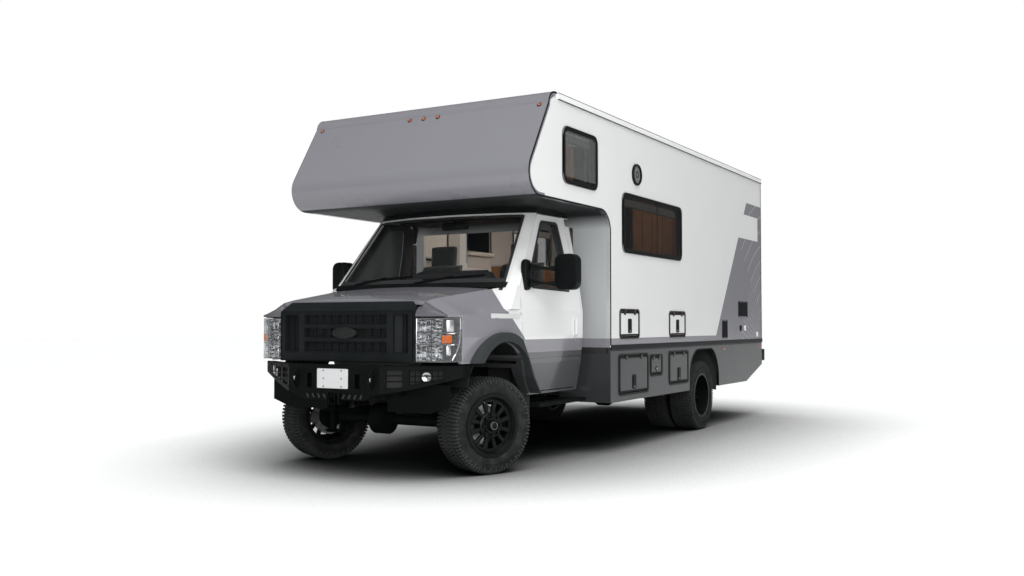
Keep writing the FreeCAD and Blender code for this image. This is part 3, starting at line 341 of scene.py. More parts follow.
def cab_paint(name, wing=False):
    """Cab: violet front, white behind a slanted line, violet stripe and dark lower band; trim colour inside."""
    c = colours()
    f = Finish(name, coat_roughness=0.04, specular_ior_level=0.35)
    x, y, z = f.axes()
    patches = f.noise(2.3, 4)
    white = f.mix(patches, shaded(c.body_white, 0.97), c.body_white)
    # the violet ends on a slanted line, which turns back over the hood's edge
    inboard = ((0.96 - abs(x)).math("MAXIMUM", 0) * 1.65).math("MINIMUM", 0.35)
    ahead = (y + 0.0995 - (1.448 - z) * 1.141 - inboard).below(0)
    front_end = -0.3
    violet = ahead.either(z.between(CAB_STRIPE_LOW, CAB_STRIPE_TOP))
    violet *= z.above(CAB_STRIPE_LOW).either(y.below(front_end))
    shade = f.mix(violet, white, c.livery)
    shade = f.mix(z.below(CAB_STRIPE_LOW) * y.above(front_end), shade, c.band)
    shade = f.mix(z.between(0.888, 0.896) * y.above(0.3), shade, shaded(c.band, 0.55))
    # half the cab's width at each height, for what lies inside the skin
    side = CAB_SIDE
    half = (z * 0.1887 + (side - 0.18)).math("MINIMUM", z * 0.087 + (side - 0.094)).math("MINIMUM", side)
    half = half.math("MINIMUM", side + 0.195 - z * 0.15).math("MINIMUM", side + 0.258 - z * 0.192)
    if wing:
        reach = (y + 0.008) ** 2 + (z - 0.59) ** 2
        arch = reach.below(0.466 ** 2, 0.004) * abs(x).below(side - 0.045)
        behind = y.above(0.3) * abs(x).below(side - 0.05)
        deep = arch.either(behind).either(abs(x).below(side - 0.32) * z.below(1.2))
        trim = (0.0055, 0.006, 0.0062)
    else:
        rise = (z - 1.5).math("MAXIMUM", 0)
        behind_glass = (y - 0.1 - rise * 0.782 - x * x * (rise * 0.12 + 0.165)).above(0.035, 0.004)
        deep = abs(x).below(half - 0.019) * behind_glass * y.above(0.32)
        trim = (0.03, 0.031, 0.032)
        # painted shade: the cab's top under the overcab goes near black; the scuttle strip is the black cowl area and
        # is also painted dark for the hood's shade
        scuttle = z.between(1.455, 1.53) * abs(x).below(side - 0.125) * y.above(0.085)
        shade = f.mix(z.above(NOSE - 0.055, 0.004).either(scuttle), shade, (0.015, 0.017, 0.017))
    f.set(base_color=f.mix(deep, shade, trim), roughness=patches * 0.06 + 0.2 + deep * 0.4,
          coat_weight=(1 - deep) * 0.6)
    f.bump(f.noise(380, 2), 0.00008)


def nose_paint(name):
    """Overcab nose: violet front, underside painted near black as shade."""
    c = colours()
    f = Finish(name, coat_roughness=0.1, specular_ior_level=0.3)
    x, y, z = f.axes()
    patches = f.noise(2.0, 4)
    tone = f.mix(patches, shaded(c.livery, 0.97), shaded(c.livery, 1.02))
    # painted shade on the underside of the overhang
    under = z.below(NOSE + 0.012, 0.006)
    f.set(base_color=f.mix(under, tone, PAINTED_SHADE_BLACK), roughness=patches * 0.1 + 0.24 + under * 0.4,
          coat_weight=(1 - under) * 0.35)
    f.bump(f.noise(380, 2), 0.0001)


def glass(name, tint, alpha, rough=0.02):
    """Tinted pane: see-through, denser and glossier at grazing angles."""
    f = Finish(name, base_color=tint, roughness=rough, ior=1.5, specular_ior_level=0.6)
    glance = f.node("ShaderNodeLayerWeight", out=1) ** 4
    f.set(alpha=glance * (1 - alpha) + (alpha + f.noise(1.5, 2) * 0.02))
    return f


def make_finishes():
    c = colours()
    wall_paint("side_paint", True)
    wall_paint("plain_paint", False)
    # front wall: painted shade grey for the white wall under the overhang, livery below the stripe, cabin colour
    # inside
    shade = textured("shade_paint", (0.4, 0.415, 0.42), 0.5)
    x, y, z = shade.axes()
    wall = shade.mix(y.above(BODY_FRONT + 0.01), PAINTED_SHADE_GREY, c.cabin)
    wall = shade.mix(z.below(STRIPE_TOP) * y.below(BODY_FRONT + 0.01), wall, c.livery)
    # painted shade: darker towards the overhang's underside
    under = z.above(NOSE - 0.09, 0.12) * y.below(BODY_FRONT + 0.005)
    shade.set(base_color=shade.mix(under, wall, PAINTED_SHADE_BLACK))
    cab_paint("cab_paint")
    cab_paint("wing_paint", True)
    nose_paint("nose_paint")
    skirt_grey = shaded(c.band, 0.44)
    band = coat("band_paint", skirt_grey, 0.4, specular_ior_level=0.2)
    x, y, z = band.axes()
    band.set(base_color=band.mix(abs(x).above(HINGE_LEAF, 0.0004), skirt_grey, c.black))
    textured("black_trim", c.black, 0.5)
    textured("black_steel", c.steel, 0.5, grain=1400, depth=0.0001, dust=0.02, specular_ior_level=0.06)
    textured("frame_steel", shaded(c.steel, 1.5), 0.6, grain=500, dust=0.08, specular_ior_level=0.06)
    textured("flare_plastic", (0.036, 0.041, 0.042), 0.55, grain=1300)
    textured("mirror_plastic", (0.005, 0.0062, 0.0064), 0.38, grain=1300)
    textured("cast_metal", (0.12, 0.12, 0.115), 0.6, grain=300, depth=0.0006, metallic=0.6, dust=0.15)
    textured("cabin_plastic", (0.035, 0.035, 0.037), 0.6, grain=1100)
    textured("frame_grey", (0.016, 0.0185, 0.018), 0.4, grain=1500, depth=0.00006)
    textured("silver_frame", (0.33, 0.34, 0.34), 0.32, grain=1500, depth=0.00004, metallic=0.25)
    pane = glass("dark_glass", (0.006, 0.006, 0.006), 0.45)
    x, y, z = pane.axes()
    overcab = z.above(2.42) * y.below(BODY_FRONT)
    pane.set(base_color=pane.mix(overcab, (0.004, 0.004, 0.004), (0.12, 0.13, 0.13)))
    glass("clear_glass", (0.02, 0.023, 0.024), 0.05)
    # far door's glass: a dense dark pane that paints the shade seen through the cab
    glass("film_glass", (0.085, 0.094, 0.096), 0.86)
    glass("lens_glass", (0.7, 0.72, 0.74), 0.03)
    rubber = Finish("tyre_rubber", specular_ior_level=0.2)
    rubber.set(base_color=dusty(rubber, c.rubber, 0.3, 14), roughness=rubber.noise(40, 4) * 0.25 + 0.6)
    rubber.bump(rubber.noise(260, 4), 0.0008)
    textured("tread_rubber", (0.034, 0.0365, 0.037), 0.75, grain=260, depth=0.0006, dust=0.25)
    rim = Finish("rim_black", specular_ior_level=0.16, coat_weight=0.03, coat_roughness=0.2)
    rim.set(base_color=dusty(rim, (0.0032, 0.004, 0.0042), 0.02, 9), roughness=rim.noise(12, 3) * 0.12 + 0.32)
    rim.bump(rim.noise(800, 2), 0.00005)
    chrome = Finish("chrome", metallic=1)
    chrome.set(base_color=chrome.mix(chrome.noise(30, 2), (0.62, 0.63, 0.64), (0.78, 0.78, 0.79)),
               roughness=chrome.noise(60, 3) * 0.08 + 0.06)
    # headlamp reflectors: dark and bright blobs in the base colour are painted reflections of the chrome
    glint_paint = Finish("lamp_facets", metallic=0.55)
    blobs = glint_paint.noise(1, 4, glint_paint.stretched((26, 26, 54)), 0.62)
    glint_paint.set(base_color=glint_paint.mix(blobs.above(0.51, 0.09), (0.022, 0.027, 0.03), (0.6, 0.62, 0.64)),
               roughness=blobs * 0.1 + 0.1)
    glint_paint.bump(blobs, 0.006)
    glow = Finish("ceiling_light", base_color=(0.9, 0.88, 0.84), emission_strength=16)
    glow.set(emission_color=glow.mix(glow.noise(3, 2), (1.0, 0.92, 0.84), (1.0, 0.95, 0.88)),
             roughness=glow.noise(30, 2) * 0.1 + 0.4)
    bright = Finish("bright_steel", metallic=0.9)
    bright.set(base_color=bright.mix(bright.noise(80, 2), (0.42, 0.43, 0.44), (0.55, 0.56, 0.57)),
               roughness=bright.noise(200, 3) * 0.15 + 0.22)
    for name, tint in (("amber_lens", c.amber), ("red_lens", c.red), ("white_lens", (0.8, 0.82, 0.84))):
        lens = Finish(name, coat_weight=0.6)
        x, y, z = lens.axes()
        # painted shade: each rib runs darker to lighter across its width
        ribs = abs(((x + y + z) * 110).math("FRACT") - 0.5)
        lens.set(base_color=lens.mix(ribs, shaded(tint, 0.8), tint), roughness=lens.noise(50, 2) * 0.1 + 0.12)
        lens.bump(ribs, 0.002)
    cloth = Finish("seat_cloth", sheen_weight=0.35, sheen_roughness=0.5)
    weave = cloth.noise(1, 2, cloth.stretched((900, 900, 260)))
    cloth.set(base_color=cloth.mix(weave, (0.016, 0.017, 0.018), (0.05, 0.052, 0.053)), roughness=weave * 0.1 + 0.8)
    cloth.bump(weave, 0.0008)
    panel = Finish("dark_timber", coat_weight=0.1)
    grain = panel.noise(1, 5, panel.stretched((30, 30, 2)), 0.6)
    panel.set(base_color=panel.mix(grain, (0.008, 0.006, 0.004), (0.03, 0.02, 0.012)), roughness=grain * 0.15 + 0.4)
    timber = Finish("timber", coat_weight=0.15)
    grain = timber.noise(1, 6, timber.stretched((30, 2.2, 26)), 0.62)
    timber.set(base_color=timber.mix(grain.above(0.5, 0.5), shaded(c.timber, 0.55), c.timber),
               roughness=grain * 0.15 + 0.38)
    timber.bump(grain, 0.0006)
    textured("lining", c.cabin, 0.6, grain=300, dust=0)
    blind = Finish("blind_cloth")
    x, y, z = blind.axes()
    pleats = abs((z * 52).math("FRACT") - 0.5)
    # painted shade: each pleat runs darker to lighter across the fold
    blind.set(base_color=blind.mix(pleats, (0.6, 0.57, 0.51), (0.8, 0.77, 0.7)), roughness=pleats * 0.1 + 0.75)
    blind.bump(pleats, 0.004)
    textured("blank_label", (0.6, 0.61, 0.61), 0.35, grain=600, depth=0.00003, dust=0.01)
    textured("lamp_grey", (0.17, 0.175, 0.178), 0.25, grain=700, depth=0.00004)
    textured("dark_screen", (0.006, 0.007, 0.008), 0.15, grain=700, depth=0.00001, dust=0)
    coat("white_paint", c.body_white, 0.25)
    glass("dome_plastic", (0.05, 0.055, 0.06), 0.55, 0.08)
    cells = Finish("solar_cells", coat_weight=0.8, coat_roughness=0.03)
    x, y, z = cells.axes()
    gap_x, gap_y = (abs((way * 6.3).math("FRACT") - 0.5).above(0.485, 0.01) for way in (x, y))
    cells.set(base_color=cells.mix(gap_x.either(gap_y), (0.008, 0.011, 0.03), (0.45, 0.46, 0.48)),
              roughness=cells.noise(20, 2) * 0.1 + 0.2)


# ---- shapes
def soften(part, width, segments=1, edges=None):
    """Bevels all edges, or the ones given."""
    if width:
        bmesh.ops.bevel(part, geom=edges or part.edges[:], offset=width, offset_type="OFFSET", segments=segments,
                        profile=0.5, affect="EDGES", clamp_overlap=True, material=-1)


def outward(part):
    """Turns the faces outwards."""
    bmesh.ops.recalc_face_normals(part, faces=part.faces)


def move(part, place):
    """Moves a part to a place, which may mirror it."""
    if place is not None:
        bmesh.ops.transform(part, matrix=place, verts=part.verts)
        if place.determinant() < 0:
            bmesh.ops.reverse_faces(part, faces=part.faces)


def rounded(a0, a1, b0, b1, radius, steps):
    """Outline of a rectangle with rounded corners."""
    points = []
    for a, b, turn in ((a1 - radius, b1 - radius, 0), (a0 + radius, b1 - radius, 90),
                       (a0 + radius, b0 + radius, 180), (a1 - radius, b0 + radius, 270)):
        for i in range(steps + 1):
            t = math.radians(turn + 90 * i / steps)
            points.append((a + radius * math.cos(t), b + radius * math.sin(t)))
    return points


class Shape:
    """Gathers bmesh parts of one piece, in millimetres from the front axle line."""

    def __init__(self):
        self.bm = bmesh.new()

    def take(self, part, slot=0, place=None, keep_slots=False):
        if not keep_slots:
            for face in part.faces:
                face.material_index = slot
        move(part, place)
        mesh = bpy.data.meshes.new("part")
        part.to_mesh(mesh)
        part.free()
        self.bm.from_mesh(mesh)
        bpy.data.meshes.remove(mesh)
        return self

    def box(self, low, high, bevel=0, slot=0, place=None, segments=1):
        part = bmesh.new()
        low, high = Vector(low), Vector(high)
        bmesh.ops.create_cube(part, size=1)
        bmesh.ops.scale(part, vec=high - low, verts=part.verts)
        bmesh.ops.translate(part, vec=(low + high) / 2, verts=part.verts)
        soften(part, bevel, segments)
        return self.take(part, slot, place)

    def rod(self, start, end, radius, slot=0, steps=16, bevel=0, end_radius=None, place=None):
        part = bmesh.new()
        start, end = Vector(start), Vector(end)
        axis = end - start
        bmesh.ops.create_cone(part, cap_ends=True, segments=steps, radius1=radius,
                              radius2=radius if end_radius is None else end_radius, depth=axis.length)
        soften(part, bevel, 1, [e for e in part.edges if len({round(v.co.z) for v in e.verts}) == 1])
        turn = Matrix.Translation((start + end) / 2) @ axis.to_track_quat("Z", "Y").to_matrix().to_4x4()
        return self.take(part, slot, turn if place is None else place @ turn)

    def lathe(self, profile, centre=(0, 0, 0), slot=0, steps=64, place=None, axis=ALONG_X):
        """Closed ring: profile of (along the axis, radius) points turned about the X line, or another axis."""
        part = bmesh.new()
        verts = [part.verts.new((a, 0, r)) for a, r in profile]
        edges = [part.edges.new((verts[i], verts[(i + 1) % len(verts)])) for i in range(len(verts))]
        bmesh.ops.spin(part, geom=verts + edges, cent=(0, 0, 0), axis=ALONG_X, angle=2 * math.pi, steps=steps,
                       use_merge=True)
        bmesh.ops.remove_doubles(part, verts=part.verts, dist=0.001)
        outward(part)
        turn = Matrix.Translation(centre) @ Vector(axis).to_track_quat("X", "Z").to_matrix().to_4x4()
        return self.take(part, slot, turn if place is None else place @ turn)

    def plate(self, outline, axis, low, high, bevel=0, slot=0, band=0, place=None, segments=1):
        """Outline of 2D points pushed along an axis from low to high; band leaves only a rim that wide."""
        part = bmesh.new()
        spot = {"X": lambda a, b: (low, a, b), "Y": lambda a, b: (a, low, b), "Z": lambda a, b: (a, b, low)}[axis]
        face = part.faces.new([part.verts.new(spot(a, b)) for a, b in outline])
        if band:
            bmesh.ops.inset_region(part, faces=[face], thickness=band, use_even_offset=True, use_boundary=True)
            bmesh.ops.delete(part, geom=[face], context="FACES")
        pushed = bmesh.ops.extrude_face_region(part, geom=part.faces[:])
        shift = Vector([high - low if axis == name else 0 for name in "XYZ"])
        bmesh.ops.translate(part, vec=shift, verts=[v for v in pushed["geom"] if isinstance(v, bmesh.types.BMVert)])
        outward(part)
        soften(part, bevel, segments)
        return self.take(part, slot, place)

    def pane(self, a0, a1, b0, b1, radius, steps, axis, low, high, bevel=0, **settings):
        """Plate with a rounded rectangle for its outline."""
        return self.plate(rounded(a0, a1, b0, b1, radius, steps), axis, low, high, bevel, **settings)

    def tube(self, rows):
        """Closed bar between four rows of points, capped at its ends."""
        part = bmesh.new()
        rows = [[part.verts.new(point) for point in row] for row in rows]
        for a, b in zip(rows, rows[1:] + rows[:1]):
            for i in range(len(a) - 1):
                part.faces.new((a[i], a[i + 1], b[i + 1], b[i]))
        for end in (0, -1):
            part.faces.new([row[end] for row in rows])
        outward(part)
        return self.take(part)

    def both_sides(self):
        """Adds the mirror image on the other side."""
        copy = self.bm.copy()
        return self.take(copy, place=MIRROR, keep_slots=True)

    def done(self, name, finishes, body="vehicle", slot=None, replaces=(), smooth=32, place=None):
        """Moves the shape into the frame's metres and lets it ride on a body."""
        move(self.bm, place)
        move(self.bm, FROM_MM)
        mesh = bpy.data.meshes.new(name)
        self.bm.to_mesh(mesh)
        self.bm.free()
        for item in [finishes] if isinstance(finishes, str) else finishes:
            mesh.materials.append(finish(item))
        if smooth:
            mesh.shade_smooth()
            mesh.set_sharp_from_angle(angle=math.radians(smooth))
        piece = bpy.data.objects.new(name, mesh)
        bpy.context.scene.collection.objects.link(piece)
        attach(piece, body)
        if replaces:
            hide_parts(*replaces)
        return piece


class PieceOperator(bpy.types.Operator):
    """Base of the operators: build() makes the pieces."""
    bl_options = {"REGISTER", "UNDO"}

    def execute(self, context):
        self.build()
        return {"FINISHED"}


# ---- wheels
TYRE_WIDTH = 255.0
KINGPIN_X = JOINTS["steer_left"]["pos_m"][0] * 1000
FRONT_X = 848.0
TWIN_OUT_X = node_box("tyres_rear_left")[1].x - TYRE_WIDTH / 2
TWIN_IN_X = node_box("tyres_rear_left")[0].x + TYRE_WIDTH / 2
PARKED_STEER = math.radians(-22)
FRONT_FACE = TYRE_WIDTH / 2 - 46                  # outer face of the front rims' disc, from the tyre's middle
TYRE_LOOK = ["tyre_rubber", "tread_rubber"]


def wheel_place(side, x_mid, y, steered):
    """Puts a wheel modelled about its own centre, outer face to +X, on its hub."""
    place = Matrix.Translation((x_mid, y, TYRE_R))
    if side < 0:
        place = MIRROR @ place
    if steered:
        pin = Matrix.Translation((side * KINGPIN_X, y, 0))
        place = pin @ Matrix.Rotation(PARKED_STEER, 4, "Z") @ pin.inverted() @ place
    return place


def around(i, count):
    """Place turned about the axle to the i-th of count even steps."""
    return Matrix.Rotation(2 * math.pi * i / count, 4, "X")


def tread_block(part, side, x0, x1, a, length, low, high, skew=0.0, taper=1.5):
    """One rubber block on the crown at angle a, from radius low to high."""
    x0, x1 = sorted((side * x0, side * x1))
    made = bmesh.ops.create_cube(part, size=1)["verts"]
    for v in made:
        top = v.co.z > 0
        x = x1 if v.co.x > 0 else x0
        x -= (taper if top else 0) * (1 if v.co.x > 0 else -1)
        y = v.co.y * (length - (2 * taper if top else 0)) + skew * (x - (x0 + x1) / 2)
        v.co = (x, y, high if top else low)
    bmesh.ops.rotate(part, cent=(0, 0, 0), matrix=Matrix.Rotation(a, 3, "X"), verts=made)


def tyre_shape(place_list):
    """All-terrain tyre: carcass with sidewall ribs, shoulder lugs that run down the wall, four rows of blocks."""
    s = sizes()
    count, depth = s.tread_pitches, s.tread_depth
    crown = TYRE_R - 0.5
    base = crown - depth
    h = TYRE_WIDTH / 2
    # outline of the side wall from the bead outwards
    wall = [(h - 26, 236.5), (h - 15, 254), (h - 9, 262), (h - 3, 276), (h - 1.5, 293), (h + 1.2, 296),
            (h + 1.2, 302), (h - 1.5, 305), (h - 4, 330), (h - 9, 347), (h - 22, 361), (h - 50, base)]
    profile = [(-x, r) for x, r in wall] + [(x, r) for x, r in reversed(wall)]
    part = bmesh.new()
    step = 2 * math.pi / count
    pitch = step * crown
    for side in (1, -1):
        for i, reach in ((0, 0), (0.5, -14)):
            a = step * (i if side > 0 else i + 0.25)
            length = pitch * 0.33
            # shoulder lug, in three pieces that follow the curve down to the wall
            tread_block(part, side, h - 56, h - 22, a, length, base - 4, crown - 1.5)
            tread_block(part, side, h - 30, h - 12, a, length * 0.95, 352, crown - 6, taper=2)
            tread_block(part, side, h - 16, h - 0.5 + reach * 0.05, a, length * 0.9, 344 + reach, crown - 16, taper=1)
        for x0, x1, shift, skew in ((8, 34, 0.1, 0.35), (39, 66, 0.45, -0.3)):
            for half in (0, 0.5):
                tread_block(part, side, x0, x1, step * (half + shift + (0.2 if side < 0 else 0)), pitch * 0.34,
                            base - 4, crown, skew * side)
        tread_block(part, side, 1.5, 6, step * 0.3, pitch * 0.5, base - 4, crown - 2)
    bmesh.ops.spin(part, geom=part.verts[:] + part.edges[:] + part.faces[:], cent=(0, 0, 0), axis=ALONG_X,
                   angle=2 * math.pi * (count - 1) / count, steps=count - 1, use_duplicate=True)
    tread = bpy.data.meshes.new("tread")
    part.to_mesh(tread)
    part.free()
    shape = Shape()
    for place in place_list:
        shape.lathe(profile, steps=120, place=place)
        copy = bmesh.new()
        copy.from_mesh(tread)
        shape.take(copy, 1, place)
    bpy.data.meshes.remove(tread)
    return shape


class MOTORHOME_OT_tyres(PieceOperator):
    """Adds the treaded tyres in place of the plain rings."""
    bl_idname = "motorhome.tyres"
    bl_label = "Tyres"

    def build(self):
        for name, side in SIDES:
            place = wheel_place(side, FRONT_X, 0, True)
            tyre_shape([place]).done("tread_tyre_front_" + name, TYRE_LOOK, "wheel_front_" + name, "tyre",
                                     ["tyre_front_" + name])
            places = [wheel_place(side, x, REAR_AXLE, False) for x in (TWIN_OUT_X, TWIN_IN_X)]
            tyre_shape(places).done("tread_tyres_rear_" + name, TYRE_LOOK, "wheel_rear_" + name, "tyre",
                                    ["tyres_rear_" + name])


class MOTORHOME_OT_wheel_trim(PieceOperator):
    """Adds spoke ribs, lug nuts, hub caps and valve stems to the rims, and the brake discs behind them."""
    bl_idname = "motorhome.wheel_trim"
    bl_label = "Wheel trim"

    def build(self):
        for name, side in SIDES:
            self.front(name, wheel_place(side, FRONT_X, 0, True))
            self.rear(name, wheel_place(side, (TWIN_OUT_X + TWIN_IN_X) / 2, REAR_AXLE, False))

    def front(self, name, place):
        face = FRONT_FACE
        shape = Shape()
        for i in range(12):
            shape.plate([(-11, 100), (11, 100), (20, 196), (-20, 196)], "X", face - 3, face + 5, 3,
                        place=around(i + 0.5, 12))
        # bead ring, hub ring, nuts and hub cap
        shape.lathe([(face + 18, 212), (face + 24, 216), (face + 24, 224), (face + 16, 226)], steps=96)
        shape.lathe([(face + 2, 60), (face + 10, 62), (face + 13, 70), (face + 13, 96), (face + 8, 104),
                     (face - 2, 104), (face - 2, 60)])
        self.nuts(shape, face + 12, 82, 11, 24)
        shape.lathe([(face + 10, 1), (face + 52, 1), (face + 56, 30), (face + 50, 40), (face + 36, 45),
                     (face + 10, 46)], steps=48)
        shape.lathe([(face + 54, 27), (face + 57, 28), (face + 57, 29.5), (face + 54, 31)], slot=1, steps=48)
        # valve stem
        shape.rod((face + 8, 0, 206), (face + 34, 0, 198), 4, slot=1, steps=8, place=Matrix.Rotation(0.4, 4, "X"))
        shape.done("wheel_trim_front_" + name, ["rim_black", "bright_steel"], "wheel_front_" + name, "rim_black",
                   place=place)
        disc = Shape()
        disc.lathe([(-62, 70), (-40, 70), (-40, 165), (-62, 165)])
        disc.box((-72, -120, 90), (-30, -20, 176), 8, slot=1, place=Matrix.Rotation(1.2, 4, "X"))
        disc.done("brake_front_" + name, ["bright_steel", "cast_metal"], "knuckle_" + name, "chassis_black",
                  place=place)

    def rear(self, name, place):
        shape = Shape()
        for i in range(8):
            shape.box((24, -17, 128), (34, 17, 196), 4, place=around(i + 0.5, 8))
        for i in range(12):
            shape.plate([(-12, 64), (12, 64), (19, 216), (-19, 216)], "X", 148, 162, 4, place=around(i + 0.5, 12))
        self.nuts(shape, 22, 105, 13, 26)
        shape.lathe([(60, 1), (172, 1), (176, 40), (170, 56), (150, 66), (60, 72)], steps=48)
        self.nuts(shape, 164, 54, 5, 10)
        shape.done("wheel_trim_rear_" + name, "rim_black", "wheel_rear_" + name, "rim_black", place=place)

    @staticmethod
    def nuts(shape, x, radius, size, length):
        for i in range(8):
            shape.rod((x - 4, 0, radius), (x + length, 0, radius), size, steps=6, bevel=2, place=around(i, 8))


# ---- front
HOOD_FRONT = node_box("hood")[0].y
GRILLE_Y = node_box("grille")[0].y
GRILLE_X = node_box("grille")[1].x
BUMPER_TIP = node_box("front_bumper")[0].y
BUMPER_Y = BUMPER_TIP + 50
BUMPER_LOW, BUMPER_TOP = 655, 870
GLASS_HALF = CAB_X - 128                          # half the windscreen's width at its foot
# rows of slots in the grille: z0, z1
GRILLE_ROWS = ((1180, 1250), (1075, 1145), (965, 1040))
SLOT_HALF = 400                                   # half the width of those slots


def between(side, a, b, low, high):
    """Corners of a box from a to b along X on one side, given its low and high (y, z)."""
    x0, x1 = sorted((side * a, side * b))
    return (x0, *low), (x1, *high)


def plan_turn(start, along):
    """Place whose X runs along a direction in plan from a start point."""
    return Matrix(((along.x, -along.y, 0, start.x), (along.y, along.x, 0, start.y), (0, 0, 1, 0), (0, 0, 0, 1)))


def skin(part, rows, closed):
    """Faces between rows of vertices; closed rows join up at their ends."""
    for a, b in zip(rows, rows[1:]):
        for i in range(len(a) if closed else len(a) - 1):
            k = (i + 1) % len(a)
            part.faces.new((a[i], a[k], b[k], b[i]) if closed else (a[i], b[i], b[k], a[k]))


class MOTORHOME_OT_grille(PieceOperator):
    """Adds the mesh, dividers, edge lips and bare badge place of the grille."""
    bl_idname = "motorhome.grille"
    bl_label = "Grille"

    def build(self):
        y = GRILLE_Y
        bars = Shape()
        for z0, z1 in GRILLE_ROWS:
            for i in range(1, 10):
                x = -SLOT_HALF + 80 * i
                bars.box((x - 2.5, y + 26, z0 - 2), (x + 2.5, y + 42, z1 + 2), 1)
        # upright slots at the sides: a slanted guide, a divider and a lip
        for side in (1, -1):
            guide = [(side * 482, y + 2), (side * 536, y + 30), (side * 536, y + 42), (side * 482, y + 42)]
            bars.plate(guide, "Z", 964, 1251, 2)
            bars.box(*between(side, 562, 568, (y + 30, 963), (y + 42, 1252)), 1)
            lip = rounded(*sorted((side * 474, side * 606)), 959, 1256, 8, 2)
            bars.plate(lip, "Y", y - 4, y + 6, 2, band=9)
        for z0, z1 in GRILLE_ROWS:
            bars.pane(-SLOT_HALF - 6, SLOT_HALF + 6, z0 - 6, z1 + 6, 8, 2, "Y", y - 4, y + 6, 2, band=8)
        # outer surround with a rounded inner edge
        bars.pane(-GRILLE_X + 6, GRILLE_X - 6, 892, 1276, 22, 4, "Y", y - 7, y + 2, 3, band=26)
        bars.done("grille_bars", "black_trim", slot="grille_black")
        net = Shape()
        spots = [(-SLOT_HALF, SLOT_HALF, z0, z1) for z0, z1 in GRILLE_ROWS]
        for x0, x1, z0, z1 in spots + [(480, 600, 965, 1250), (-600, -480, 965, 1250)]:
            for x in range(x0 + 8, x1, 15):
                net.box((x - 1.2, y + 44, z0), (x + 1.2, y + 47, z1))
            for z in range(z0 + 8, z1, 15):
                net.box((x0, y + 43, z - 1.2), (x1, y + 46, z + 1.2))
        net.done("grille_net", "cabin_plastic", slot="grille_black", smooth=0)
        badge = Shape()
        turns = [math.radians(5 * i) for i in range(72)]
        oval = [(118 * math.cos(t), 1110 + 44 * math.sin(t)) for t in turns]
        badge.plate(oval, "Y", y - 12, y + 14, 5, segments=3)
        badge.done("bare_badge_place", "frame_grey", slot="grille_black")


